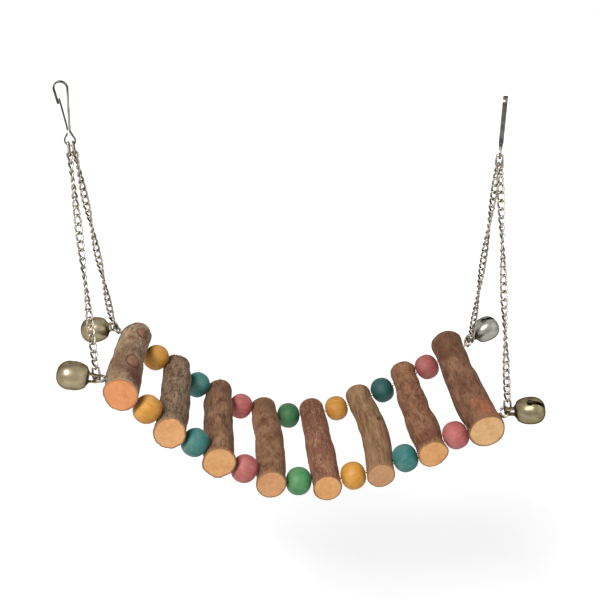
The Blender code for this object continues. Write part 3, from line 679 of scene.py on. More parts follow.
class BarkShape:
    """The relief of one rung's bark, and what its finish reads at each point."""

    # Widths across and lengths along the rung of lumps, waves, wandering lines, gaps in them and grit
    LUMP = (0.011, 0.015)
    WAVE = (0.0045, 0.007)
    WANDER = (0.005, 0.004)
    GAP = (0.0030, 0.0022)
    GRIT = (0.0007, 0.0012)
    # How far a line wanders, and the height of the grit
    WANDER_REACH = 0.0012
    GRIT_HEIGHT = 0.00006
    # Width and sharpness of the lines, as fissures and as pale ridges
    FISSURE = (0.0014, 2.8)
    RIDGE = (0.0012, 3.4)
    # Depth from which a fissure is as dark as it gets
    DEEP_FISSURE = 0.0004
    # Where beads bear on a rung, the length that they take up and the share of the relief that they leave out
    WIRE_HALF_SPACING = 0.0335
    BEAD_LENGTH = 0.006
    BEAD_SHARE = 0.85
    # A knot's length to its width, its groove's place and width, its pit and the rings in its healed wood
    KNOT_LENGTH = 0.55
    GROOVE = (0.80, 0.11)
    PIT = 0.22
    KNOT_RINGS = 21
    NO_STAIN = (0.0, 0.0, 0.0, 0.0)

    def __init__(self, number, half, relief):
        self.bark = BARKS[number - 1]
        self.half = half
        self.relief = relief
        self.shift = 31.7 * number
        self.line = self.FISSURE if self.bark.fissure > 0 else self.RIDGE

    def room(self, turn, y):
        """1, and less where a bead bears on the rung's side."""
        at_bead = hump(abs(y) - self.WIRE_HALF_SPACING, self.BEAD_LENGTH)
        return 1 - self.BEAD_SHARE * at_bead * math.cos(turn) ** 2

    def fullness(self, turn, y):
        """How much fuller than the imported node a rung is."""
        share = clamped((0.3 - y / self.half) / 1.1)
        fuller = self.bark.body + self.bark.front * share * share * (3 - 2 * share)
        return 1 + fuller * self.room(turn, y)

    def point(self, turn, radius, y):
        """How far the bark stands out, how deep a fissure is, how much is knot, and the stain."""
        bark = self.bark
        shift = self.shift
        x = radius * math.cos(turn)
        z = radius * math.sin(turn)

        def uneven(size, on_x=0, on_y=0, on_z=0):
            across, along = size
            return ripple(x / across + on_x, y / along + on_y, z / across + on_z)

        lump = uneven(self.LUMP, on_x=shift) * self.room(turn, y)
        wave = uneven(self.WAVE, on_y=shift)
        skew = self.WANDER_REACH * uneven(self.WANDER, on_z=shift)
        gaps = uneven(self.GAP, on_z=shift)
        grit = uneven(self.GRIT, on_y=shift)
        width, sharp = self.line
        long = max(0.7 * bark.stretch, 0.08)
        line = ripple((x + skew) / width, y * long / width + shift, (z + skew) / width)
        depth = max(0.0, 1 - sharp * abs(line)) ** 2 * clamped(0.65 + gaps)
        offset = bark.lump * (0.9 * lump + 0.25 * wave) - bark.fissure * depth + self.GRIT_HEIGHT * grit
        offset *= self.relief
        depth *= min(1.0, abs(bark.fissure) / self.DEEP_FISSURE)
        healed = 0.0
        for knot in bark.knots:
            side = math.remainder(turn - math.radians(knot.angle), math.tau) * radius
            away = math.hypot(side, (y - knot.along) * self.KNOT_LENGTH) / knot.width + 0.14 * gaps
            groove = hump(away - self.GROOVE[0], self.GROOVE[1])
            offset += knot.height * (hump(away, 0.95) - 0.35 * groove)
            offset -= knot.height * 0.35 * hump(away, self.PIT)
            rings = 0.5 + 0.5 * math.cos(away * self.KNOT_RINGS)
            ringed = 0.40 * knot.healed * rings * (away < 0.7)
            depth = max(depth, groove * (0.35 + 0.6 * knot.healed), ringed)
            healed = max(healed, knot.healed * math.exp(-((away / 0.74) ** 6)) * (0.85 + 0.3 * grit))
        stain = self.NO_STAIN
        for spot in bark.stains:
            side = math.remainder(turn - math.radians(spot.angle), math.tau) * radius
            away = math.hypot(side / spot.width, (y - spot.along) / spot.length) + 0.45 * gaps + 0.25 * wave
            share = spot.share * clamped((1.25 - away) / 0.7)
            if share > stain[3]:
                stain = (*spot.colour, share)
        return offset, depth, clamped(healed), stain


# The rings of a cut face, as shares of the way from its middle to its edge
CUT_RINGS = (0.985, 0.955, 0.92, 0.86, 0.76, 0.64, 0.52, 0.40, 0.28, 0.17, 0.08)


def add_cut_face(solid, rim, sign, number, half, settings):
    """A sawn face inside the row of points that starts at rim, with saw marks and grit."""
    around = settings.around
    edge = solid.points[rim : rim + around]
    for share in CUT_RINGS:
        first = len(solid.points)
        low = 0.35 * settings.edge if share == CUT_RINGS[0] else 0
        for point in edge:
            x, z = point.x * share, point.z * share
            mark = ripple(x / 0.0016 + 3 * number, z / 0.009, sign)
            grit = ripple(x / 0.0006, z / 0.0006, 5 * number)
            sunk = settings.saw_marks * (0.6 + 0.35 * mark + 0.2 * grit) + low
            solid.points.append(Vector((x, sign * (half - max(0, sunk)), z)))
        rows = (rim, first) if sign > 0 else (first, rim)
        solid.band(*rows, around, 1)
        rim = first
    solid.face(range(rim, rim + around)[::sign], 1)


def make_rung(number, settings):
    """One branch: fissured bark with knots, and two sawn faces with a rim of bark."""
    node = f"rung_{number}"
    shape = RungShape(node)
    relief = BarkShape(number, shape.half, settings.relief)
    bark = relief.bark
    turns = np.arange(settings.around) * math.tau / settings.around
    inner = shape.half - settings.edge
    rows = []
    noted = []
    for y in np.linspace(-inner, inner, settings.along):
        row = []
        place = y / shape.half
        bow = bark.bow * (1 - place**2) ** 2 * (1 - bark.lean * place)
        for turn, radius in zip(turns, shape.radius(turns, y)):
            offset, *at_point = relief.point(turn, radius, y)
            size = radius * relief.fullness(turn, y) + offset
            row.append(Vector((size * math.cos(turn) + bow, y, size * math.sin(turn))))
            noted.append(at_point)
        rows.append(row)
    solid = Solid()
    solid.skin(rows)
    for sign, row in ((-1, 0), (1, settings.along - 1)):
        add_cut_face(solid, row * settings.around, sign, number, shape.half, settings)
    # Rows run towards +Y and turns from X to Z, so the faces are turned round to look outwards.
    solid.faces = [face[::-1] for face in solid.faces]
    mesh = solid.mesh(f"{node}_wood", 50)
    reaches = [1.0] * len(noted) + [share for share in CUT_RINGS for _ in turns] * 2
    noted += [(0, 0, BarkShape.NO_STAIN)] * (len(solid.points) - len(noted))
    for name, values in zip(("depth", "knot", "stain", "reach"), (*zip(*noted), reaches)):
        note(mesh, name, values)
    finishes = (bark_finish(number, bark, tuple(settings.knot_colour)), cut_finish(number, bark))
    add_piece(f"{node}_wood", mesh, finishes, "deck", [node], shape.matrix)


class MakeRungs(bpy.types.Operator):
    """Make the eight branch rungs"""

    bl_idname = "bird_ladder.make_rungs"
    bl_label = "Rungs"

    def execute(self, context):
        for number in range(1, len(BARKS) + 1):
            make_rung(number, context.scene.bird_ladder.rungs)
        return {"FINISHED"}


class BeadShape:
    """How a bead is turned: points along and round it, and the broken edge round its bore."""

    STEPS = 34
    AROUND = 56
    LAND = 0.0006
    # The edge's rounding, as steps in from the bead's end and out from its bore
    EDGE = ((0.00035, 0.0), (0.0001, 0.0002))
    # Its larger and its smaller dents: length along the bore and how many lie round it
    DENTS = (0.006, 1.4)
    FINE_DENTS = (0.002, 4)
    FINE_SHARE = 0.3


def make_bead(number, side, settings, finish):
    """A turned bead with a bore, a little out of round, its edges broken round the bore."""
    node = f"bead_{number}_{side}"
    joint = JOINTS[f"{node}_spin"]
    origin = Vector(joint["pos_m"])
    axis = Vector(joint["axis"]).normalized()
    spread = coordinates(frame["nodes"][node].data) - np.array(origin)
    half = np.abs(spread @ np.array(axis)).max()
    radius = np.linalg.norm(np.cross(spread, np.array(axis)), axis=1).max()
    rear = side == "rear"
    matrix = Matrix.Translation(origin) @ Vector((1, 0, 0)).rotation_difference(axis).to_matrix().to_4x4()
    matrix = matrix @ Matrix.Rotation(2.4 * number + 1.1 * rear, 4, "X")
    bore = settings.bore / 2
    power = 2 / settings.fullness
    limit = math.acos(((bore + BeadShape.LAND) / radius) ** (1 / power))
    stretch = half / math.sin(limit) ** power
    profile = [(inset - half, bore + out) for inset, out in BeadShape.EDGE]
    for i in range(BeadShape.STEPS + 1):
        turn = limit * (2 * i / BeadShape.STEPS - 1)
        along = math.copysign(stretch * abs(math.sin(turn)) ** power, turn)
        profile.append((along, radius * math.cos(turn) ** power))
    profile += [(half - inset, bore + out) for inset, out in BeadShape.EDGE[::-1]]
    shift = 7.3 * number + 3.1 * rear
    (long, count), (short, fine_count) = BeadShape.DENTS, BeadShape.FINE_DENTS
    rows = []
    for x, size in profile:
        row = []
        share = clamped((size - bore - BeadShape.LAND) / radius)
        for y, z in circle(1, BeadShape.AROUND):
            dent = ripple(x / long + shift, y * count, z * count)
            fine = ripple(x / short, y * fine_count, z * fine_count + shift)
            dent += BeadShape.FINE_SHARE * fine
            wide = size - settings.wobble * share * (0.9 + dent)
            row.append(Vector((x, y * wide, z * wide)))
        rows.append(row)
    solid = Solid()
    solid.skin(rows, closed_rows=True)
    mesh = solid.mesh(f"{node}_dyed", 45)
    # The bead's painted shade, from its row of the table.
    note(mesh, "dyed", [PAINTED_BEAD_SHADE[side][number - 1]] * len(solid.points))
    add_piece(f"{node}_dyed", mesh, [finish], node, [node], matrix)


class MakeBeads(bpy.types.Operator):
    """Make the fourteen dyed beads"""

    bl_idname = "bird_ladder.make_beads"
    bl_label = "Beads"

    def execute(self, context):
        settings = context.scene.bird_ladder.beads
        dyes = {dye: tuple(getattr(settings, dye)) for dye in BEAD_DYES}
        finishes = {dye: dye_finish(f"dye_{dye}", colour) for dye, colour in dyes.items()}
        for number, dye in enumerate(BEAD_DYES, 1):
            for side in SIDES:
                make_bead(number, side, settings, finishes[dye])
        return {"FINISHED"}


class FinishWires(bpy.types.Operator):
    """Round off the two bent wires and the bells' pellets, and give them their finish"""

    bl_idname = "bird_ladder.finish_wires"
    bl_label = "Wires and pellets"

    WIRE_SWELL = 0.00012
    PELLET_SWELL = 0.0003
    WELD_GAP = 1e-5

    def execute(self, context):
        colour = tuple(context.scene.bird_ladder.chains.colour)
        wire = metal_finish("drawn_wire", scaled(colour, 0.72), 0.34, 0.6, kept=True)
        pellet = metal_finish("pellet_steel", scaled(colour, 0.45), 0.4, 0.6, kept=True)
        for side in SIDES:
            self.round_off(f"{side}_wire", wire, self.WIRE_SWELL)
        for end, side in CORNERS:
            self.round_off(f"{end}_{side}_bell_pellet", pellet, self.PELLET_SWELL)
        return {"FINISHED"}

    def round_off(self, name, finish, swell):
        """Smooths a node's facets, and swells it by what the smoothing takes off."""
        node = frame["nodes"][name]
        weld = node.modifiers.new("weld", "WELD")
        weld.merge_threshold = self.WELD_GAP
        smooth = node.modifiers.new("smooth", "SUBSURF")
        smooth.levels = smooth.render_levels = 2
        swollen = node.modifiers.new("swell", "DISPLACE")
        swollen.strength = swell
        swollen.mid_level = 0
        node.data.materials.clear()
        node.data.materials.append(finish)


def link_frame(top, down, bar, distance, turn):
    """A link's frame at a distance down the chain, its Y turned from the bar's direction."""
    across = (bar - down * bar.dot(down)).normalized()
    other = down.cross(across)
    y_axis = across * math.cos(turn) + other * math.sin(turn)
    return frame_matrix(top + down * distance, down, y_axis)


def link_loop(half_length, half_width, twist, roundness, steps=28):
    """A link's centre line along local X, twisted about X from end to end, and its side directions.

    The ends are half circles where roundness is 1, and squarer where it is less.
    """
    straight = half_length - half_width
    points = []
    sides = []
    for i in range(steps):
        turn = math.tau * (i + 0.5) / steps
        along = math.copysign(abs(math.cos(turn)) ** roundness, math.cos(turn))
        x = half_width * along + math.copysign(straight, along) * min(1.0, abs(math.cos(turn)) * 2.2)
        y = half_width * math.copysign(abs(math.sin(turn)) ** roundness, math.sin(turn))
        angle = twist * x / half_length
        points.append(Vector((x, y * math.cos(angle), y * math.sin(angle))))
        sides.append(Vector((0, -math.sin(angle), math.cos(angle))))
    return points, sides


class LinkChain:
    """Links that are gathered for one piece, with the painted shade at each of their points."""

    SIDES = 10

    def __init__(self):
        self.solid = Solid()
        self.grime = []

    def add(self, matrix, half_length, half_width, wire, twist=0.0, roundness=1.0):
        """One closed link, with painted shade inside it and at its ends, where the links lie in each other's
        shade.
        """
        points, sides = link_loop(half_length, half_width, twist, roundness)
        turned = matrix.to_3x3()
        section = circle(wire / 2, self.SIDES)
        made = self.solid.points
        first = len(made)
        path = [matrix @ point for point in points]
        self.solid.sweep(path, lambda i: section, lambda i: turned @ sides[i], closed=True)
        for i, centre in enumerate(points):
            # Painted shade: darkest on the side that faces the link's middle, and more so at its ends where
            # the next links pass.
            at_end = max(0.0, abs(centre.x) / half_length - 0.55) / 0.45
            inwards = -(turned @ Vector((centre.x * 0.5, centre.y, centre.z))).normalized()
            for point in made[first + i * self.SIDES : first + (i + 1) * self.SIDES]:
                inside = max(0.0, (point - path[i]).normalized().dot(inwards))
                self.grime.append(min(1.0, 0.12 + 0.95 * inside + 0.30 * at_end * inside))

    def add_piece(self, name, finish, body, node):
        mesh = self.solid.mesh(name)
        note(mesh, "grime", self.grime)
        add_piece(name, mesh, [finish], body, [node])


class ChainLine:
    """Where a chain runs: from its joint in the top link to its seat on the wire eye's bar."""

    SEAT = 0.0026
    GAP = 0.0004
    LINK_GAP = 0.00008
    BAR = 0.0015
    OPEN_HALF = 0.0031
    OPEN_HALF_WIDTH = 0.0016
    OPEN_WIRE = 0.00105
    RING_HALF_WIDTH = 0.0015
    RING_WIRE = 0.00092
    OPEN_ROUNDNESS = 0.6
    FIRST_TURN = 3 * math.pi / 4
    SWAY = 0.10

    def __init__(self, end, side):
        tilt = JOINTS[f"{end}_{side}_bell_tilt"]
        self.eye_bar = Vector(tilt["axis"]).normalized()
        self.eye_bar *= math.copysign(1, self.eye_bar.y)
        foot = Vector(tilt["pos_m"]) - self.eye_bar * SIDES[side] * self.SEAT
        self.start = Vector(JOINTS[f"{end}_{side}_chain_sway"]["pos_m"])
        self.down = (foot - self.start).normalized()
        self.hook_bar = Vector(JOINTS[f"{end}_gate_hinge"]["axis"]).normalized()
        below = (self.BAR + self.OPEN_WIRE) / 2 + self.GAP
        self.length = (foot - self.start).length + below
        self.top = self.start - self.down * (2 * self.OPEN_HALF - (self.OPEN_WIRE + self.GAP) / 2)


def make_chain(end, side, settings, finish):
    """Twisted curb links down the chain's line, and the open link round the wire eye's bar."""
    line = ChainLine(end, side)
    first = -(line.OPEN_WIRE + line.GAP) / 2
    last = line.length - 2 * line.OPEN_HALF
    count = round((last - first) / settings.pitch)
    pitch = (last - first) / count
    half_length = (pitch + settings.wire) / 2 - line.LINK_GAP
    bar = link_frame(line.start, line.down, line.hook_bar, 0, 0)
    wanted = line.eye_bar.cross(line.down)
    turn_wanted = math.atan2(wanted.dot(bar.col[2].to_3d()), wanted.dot(bar.col[1].to_3d()))
    natural = settings.turn * (count - 1)
    total = turn_wanted + math.pi / 2 + math.pi * round((natural - turn_wanted - math.pi / 2) / math.pi)
    links = LinkChain()
    for i in range(count):
        turn = line.FIRST_TURN + total * i / (count - 1)
        turn += line.SWAY * ripple(i * 1.7, 4 * ENDS[end], 3 * SIDES[side])
        matrix = link_frame(line.start, line.down, line.hook_bar, first + pitch * i + half_length, turn)
        links.add(matrix, half_length, settings.half_width, settings.wire, settings.half_twist)
    bottom = link_frame(line.start, line.down, wanted, line.length - line.OPEN_HALF, 0)
    links.add(bottom, line.OPEN_HALF, line.OPEN_HALF_WIDTH, line.OPEN_WIRE, roundness=line.OPEN_ROUNDNESS)
    node = f"{end}_{side}_chain"
    links.add_piece(f"{node}_links", finish, node, node)


def make_top_link(end, side, finish):
    """The open link that hangs a chain from its hook's eye."""
    line = ChainLine(end, side)
    matrix = link_frame(line.top, line.down, line.hook_bar, line.OPEN_HALF, 0)
    links = LinkChain()
    links.add(matrix, line.OPEN_HALF, line.RING_HALF_WIDTH, line.RING_WIRE, roundness=line.OPEN_ROUNDNESS)
    node = f"{end}_{side}_top_link"
    links.add_piece(f"{node}_ring", finish, "top_links", node)


class MakeChains(bpy.types.Operator):
    """Make the four curb chains and the open links that hang them from the hooks"""

    bl_idname = "bird_ladder.make_chains"
    bl_label = "Chains"

    def execute(self, context):
        settings = context.scene.bird_ladder.chains
        colour = tuple(settings.colour)
        finish = metal_finish("plated_links", colour, 0.24, 0.50, 420, edge=(0.20, 0.18, 0.15))
        for end, side in CORNERS:
            make_chain(end, side, settings, finish)
            make_top_link(end, side, finish)
        return {"FINISHED"}


def eased(values, times):
    """Values along a line, each averaged with its neighbours a number of times."""
    for _ in range(times):
        inner = [(a + b * 2 + c) / 4 for a, b, c in zip(values, values[1:], values[2:])]
        values = [values[0]] + inner + [values[-1]]
    return values


class Hook:
    """The outline of a snap hook in its own plane: X across, Z up, 0 where it bears on the bar."""

    WIDTH = 0.0022
    THICKNESS = 0.0008
    CROWN_RADIUS = 0.0030
    CROWN_ARC = (192, -5, 30)
    TIP = (-0.0017, -0.0095)
    NECK = (0.0022, -0.0221)
    EYE = (0.0019, -0.0264)
    EYE_RADIUS = 0.0024
    EYE_ARC = (40, -215, 36)
    EYE_WIDTH = 0.0012
    EYE_TIP = (0.0010, -0.0232)
    LEAF = 0.0005
    GAP = 0.0004
    LEAF_HEIGHT = 0.0017
    LEAF_ROOT = 0.0012
    LEAF_LAP = 0.0022
    LEAF_STEPS = 8
    # Share of its width that the strip and the leaf have at their ends
    TIP_SHARE = 0.72
    LEAF_TIP_SHARE = 0.75

    def __init__(self, end, settings):
        origin = Vector((settings.span, -settings.stagger, -settings.drop)) * (ENDS[end] / 2)
        self.matrix = Matrix.Translation(origin)
        if end == "right":
            lean = Matrix.Rotation(-settings.right_lean, 4, "X")
            self.matrix = self.matrix @ lean @ Matrix.Rotation(settings.right_turn, 4, "Z")
        self.crown = arc((0, self.THICKNESS / 2 - self.CROWN_RADIUS), self.CROWN_RADIUS, *self.CROWN_ARC)

    def leg_x(self, z):
        top_x, top_z = self.crown[-1]
        return top_x + (z - top_z) / (self.NECK[1] - top_z) * (self.NECK[0] - top_x)

    def leaf_pivot(self):
        z = self.NECK[1] + self.LEAF_HEIGHT
        return Vector((self.leg_x(z) - self.THICKNESS / 2 - self.GAP - self.LEAF / 2, z))

    def bend(self, name, outline, widths, thickness):
        """A strip bent along an outline, with a width at each of its points."""
        through = self.matrix.col[1].to_3d()
        path = [self.matrix @ Vector((x, 0, z)) for x, z in outline]
        solid = Solid()
        solid.sweep(path, lambda i: rounded_strip(widths[i], thickness), lambda i: through)
        return solid.mesh(name, 50)


def make_hook(end, settings, finish):
    """A snap hook of flat strip with rounded edges: tip, crown, back leg, neck and narrowed eye."""
    hook = Hook(end, settings)
    eye = arc(hook.EYE, hook.EYE_RADIUS, *hook.EYE_ARC)
    eye_start, eye_end = Vector(eye[0]), Vector(eye[-1])
    front = [Vector(hook.TIP).lerp(Vector(hook.crown[0]), share) for share in (0, 0.03, 0.3, 0.6, 0.9)]
    back = [(hook.leg_x(z), z) for z in np.linspace(hook.crown[-1][1] - 0.001, hook.NECK[1] + 0.001, 9)]
    neck = [(hook.NECK[0] + x, hook.NECK[1] + z) for x, z in ((0.00003, 0.0004), (0.00022, -0.0004))]
    neck += [Vector(hook.NECK).lerp(eye_start, share) for share in (0.45, 0.85)]
    closing = [eye_end.lerp(Vector(hook.EYE_TIP), share) for share in (0.3, 0.7, 1.0)]
    # Painted reflections darken the crown in bands and the tip, neck and eye; the back leg is left as a
    # painted highlight.
    painted_reflection_bands = [0.35 + 0.55 * abs(math.cos(math.tau * i / len(hook.crown))) for i in range(len(hook.crown))]
    outline = []
    grime = []
    for part, shares in (
        (front, 0.80), (hook.crown, painted_reflection_bands), (back, 0.06), (neck, 0.60), (eye, 0.45), (closing, 0.55),
    ):
        outline += part
        grime += shares if part is hook.crown else [shares] * len(part)
    wide_until = len(front + hook.crown + back)
    narrowing = [clamped((i - wide_until) / len(neck)) for i in range(len(outline))]
    widths = [hook.WIDTH + (hook.EYE_WIDTH - hook.WIDTH) * share for share in narrowing]
    widths[0] *= hook.TIP_SHARE
    mesh = hook.bend(f"{end}_hook_strip", outline, widths, hook.THICKNESS)
    around = len(mesh.vertices) // len(outline)
    note(mesh, "grime", [share for share in eased(grime, 2) for _ in range(around)])
    add_piece(f"{end}_hook_strip", mesh, [finish], "hooks", [f"{end}_clip"])


def make_leaf(end, settings, finish):
    """The sprung leaf that closes a hook: a clenched root, a blade and a lap up inside the tip."""
    hook = Hook(end, settings)
    pivot = hook.leaf_pivot()
    root_z = pivot.y - hook.LEAF_ROOT
    root = Vector((pivot.x + hook.leg_x(root_z) - hook.leg_x(pivot.y), root_z))
    tip = Vector(hook.TIP)
    up_tip = (Vector(hook.crown[0]) - tip).normalized()
    inwards = Vector((up_tip.y, -up_tip.x))
    at_tip = tip + inwards * (hook.THICKNESS / 2 + hook.GAP + hook.LEAF / 2)
    end_lap = at_tip + up_tip * hook.LEAF_LAP
    corners = [root, pivot, at_tip, end_lap]
    outline = []
    for one, other in zip(corners, corners[1:]):
        outline += [one.lerp(other, i / hook.LEAF_STEPS) for i in range(hook.LEAF_STEPS)]
    outline.append(end_lap)
    widths = [hook.WIDTH] * len(outline)
    widths[0] = widths[-1] = hook.WIDTH * hook.LEAF_TIP_SHARE
    mesh = hook.bend(f"{end}_hook_leaf", eased(outline, 3), widths, hook.LEAF)
    add_piece(f"{end}_hook_leaf", mesh, [finish], f"{end}_gate", [f"{end}_clip_gate"])


class MakeHooks(bpy.types.Operator):
    """Make the two snap hooks and the leaves that close them"""

    bl_idname = "bird_ladder.make_hooks"
    bl_label = "Hooks"

    def execute(self, context):
        settings = context.scene.bird_ladder.hooks
        strip = metal_finish("hook_strip", tuple(settings.colour), 0.20, 0.22, 260)
        leaf = metal_finish("hook_leaf", tuple(settings.gate_colour), 0.26, 0.5, 260)
        for end in ENDS:
            make_hook(end, settings, strip)
            make_leaf(end, settings, leaf)
        return {"FINISHED"}


class BellShape:
    """A bell's frame and outline: 0 on the wire eye's bar, X from the strap to the bell's far end."""

    SIDES = 64
    STEPS = 18
    CROWN = 0.0032
    COLLAR = 0.0040
    COLLAR_HEIGHT = 0.0010
    SHOULDER = 0.0009
    # The rounding of the pressed edges at collar and shoulder, and of the crown's
    EDGE = 0.0002
    CROWN_EDGE = 0.0003
    FULLNESS = 2.3
    SLOT_DEPTH = 0.0070
    SLOT_HOLE = 0.0034
    HOLE_SIDES = 24
    # How far the slot's cutters reach beyond the bell
    BEYOND = 0.002
    SLOT_TURNS = {
        ("left", "front"): 117, ("left", "rear"): 90.6, ("right", "front"): 104, ("right", "rear"): 100,
    }
    STRAP = 0.0032
    STRAP_WIDTH = 0.0026
    STRAP_THICKNESS = 0.0007
    STRAP_TIP = 0.0017
    STRAP_SPREAD = 0.0019

    def __init__(self, end, side, settings):
        tilt = JOINTS[f"{end}_{side}_bell_tilt"]
        pivot = Vector(tilt["pos_m"])
        x_axis = Vector(JOINTS[f"{end}_{side}_bell_rattle"]["axis"]).normalized()
        z_axis = x_axis.cross(Vector(tilt["axis"])).normalized()
        self.matrix = frame_matrix(pivot, x_axis, z_axis.cross(x_axis))
        self.slot_turn = Matrix.Rotation(math.radians(self.SLOT_TURNS[end, side]), 4, "X")
        self.radius = settings.diameter / 2
        self.length = settings.length
        self.wall = settings.wall
        self.slot = settings.slot

    def profile(self, inset):
        """From crown to pole as (x, radius): collar, stepped shoulder and full round body."""
        middle = self.length - self.radius
        collar = self.COLLAR_HEIGHT + inset
        crown = self.CROWN - inset
        points = [(inset, 0.0), (inset, crown * 0.6), (inset, crown - self.CROWN_EDGE)]
        points += [(inset + self.EDGE, crown), (collar - self.EDGE, self.COLLAR - inset)]
        rise = middle + self.SHOULDER - inset
        shell = self.radius - inset
        power = 2 / self.FULLNESS
        shoulder = math.asin(((middle - collar) / rise) ** (1 / power))
        edge = shell * math.cos(shoulder) ** power
        points.append((collar, edge - self.EDGE))
        for i in range(self.STEPS):
            turn = shoulder * (1 - (i + 0.35) / (self.STEPS + 0.35))
            points.append((middle - rise * math.sin(turn) ** power, shell * math.cos(turn) ** power))
        for i in range(self.STEPS):
            turn = math.pi / 2 * i / self.STEPS
            points.append((middle + shell * math.sin(turn) ** power, shell * math.cos(turn) ** power))
        points.append((self.length - inset, 0.0))
        return [(self.STRAP + x, r) for x, r in points]

    def revolved(self, inset, kind):
        """The profile turned about the X axis, on which it starts and ends."""
        solid = Solid()
        profile = self.profile(inset)
        ring = circle(1, self.SIDES)
        rows = [[Vector((x, radius * c, radius * s)) for c, s in ring] for x, radius in profile[1:-1]]
        first = solid.skin(rows, kind=kind)
        last = first + (len(rows) - 1) * self.SIDES
        for x, at in ((profile[0][0], first), (profile[-1][0], last)):
            pole = len(solid.points)
            solid.points.append(Vector((x, 0, 0)))
            for j in range(self.SIDES):
                face = (pole, at + (j + 1) % self.SIDES, at + j)
                solid.face(face if at == first else face[::-1], kind)
        return solid

    def cutter(self, outline):
        """A bar right through the bell, with an outline in X and Z, turned as the slot is."""
        reach = self.radius + self.BEYOND
        solid = Solid()
        rows = [[self.slot_turn @ Vector((x, y, z)) for x, z in outline] for y in (reach, -reach)]
        solid.close(solid.skin(rows), len(outline), len(rows))
        return solid


def cut(mesh, cutters):
    """A mesh with cutters taken out of it, by exact Booleans."""
    body = linked("bell_blank", mesh)
    helpers = []
    for other in cutters:
        helpers.append(linked("bell_tool", other))
        modifier = body.modifiers.new("cut", "BOOLEAN")
        modifier.operation = "DIFFERENCE"
        modifier.solver = "EXACT"
        modifier.object = helpers[-1]
    view = bpy.context.evaluated_depsgraph_get()
    made = bpy.data.meshes.new_from_object(body.evaluated_get(view))
    for spare in [body, *helpers]:
        bpy.data.objects.remove(spare, do_unlink=True)
    if not made.polygons:
        raise RuntimeError("a bell came out empty")
    return made


def make_bell(end, side, settings, finish, inside):
    """A slotted bell of pressed sheet with a stepped shoulder, and its strap loop."""
    shape = BellShape(end, side, settings)
    far = shape.STRAP + shape.length
    start = far - shape.SLOT_DEPTH
    beyond = far + shape.BEYOND
    half = shape.slot / 2
    slot = ((start, -half), (beyond, -half), (beyond, half), (start, half))
    hole = [(start + x, z) for x, z in circle(shape.SLOT_HOLE / 2, shape.HOLE_SIDES)]
    solids = {
        "shell": shape.revolved(0, 0), "cavity": shape.revolved(shape.wall, 1),
        "slot": shape.cutter(slot), "holes": shape.cutter(hole),
    }
    meshes = []
    for name, solid in solids.items():
        mesh = solid.mesh(name)
        mesh.materials.append(finish)
        mesh.materials.append(inside)
        meshes.append(mesh)
    made = cut(meshes[0], meshes[1:])
    made.shade_smooth()
    made.set_sharp_from_angle(angle=math.radians(35))
    made.materials.clear()
    name = f"{end}_{side}_bell"
    add_piece(f"{name}_shell", made, [finish, inside], name, [name], shape.matrix)
    foot = shape.STRAP + shape.EDGE
    spread = shape.STRAP_SPREAD
    legs = [(foot + 0.0002, spread + 0.0006), (foot - 0.0002, spread + 0.0002), (foot * 0.75, spread)]
    loop = legs + arc((0, 0), shape.STRAP_TIP, 90, 270, 18) + [(x, -z) for x, z in legs[::-1]]
    section = rounded_strip(shape.STRAP_WIDTH, shape.STRAP_THICKNESS)
    strap = Solid()
    strap.sweep([Vector((x, 0, z)) for x, z in loop], lambda i: section, lambda i: Vector((0, 1, 0)))
    mesh = strap.mesh(f"{name}_strap", 50)
    add_piece(f"{name}_strap", mesh, [finish], name, matrix=shape.matrix)


class MakeBells(bpy.types.Operator):
    """Make the four slotted bells with their straps"""

    bl_idname = "bird_ladder.make_bells"
    bl_label = "Bells"

    def execute(self, context):
        settings = context.scene.bird_ladder.bells
        colour = tuple(settings.brass)
        plated = partial(metal_finish, fine=900)
        brass = plated("aged_brass", colour, 0.30, 0.55, edge=(0.22, 0.20, 0.16))
        nickel = plated("nickel_plate", tuple(settings.nickel), 0.26, 0.55, edge=(0.25, 0.25, 0.24))
        # Partly tarnish and partly painted shade: the right front bell gets a darker copy of the brass.
        dark = plated("dark_brass", scaled(colour, 0.78), 0.28, 0.50, edge=(0.20, 0.18, 0.14))
        # Painted shade: the inside of every bell is a very dark copy of the aged brass.
        inside = metal_finish("bell_inside", scaled(colour, 0.16), 0.5, 0.6)
        finishes = {("right", "front"): dark, ("right", "rear"): nickel}
        for end, side in CORNERS:
            make_bell(end, side, settings, finishes.get((end, side), brass), inside)
        return {"FINISHED"}


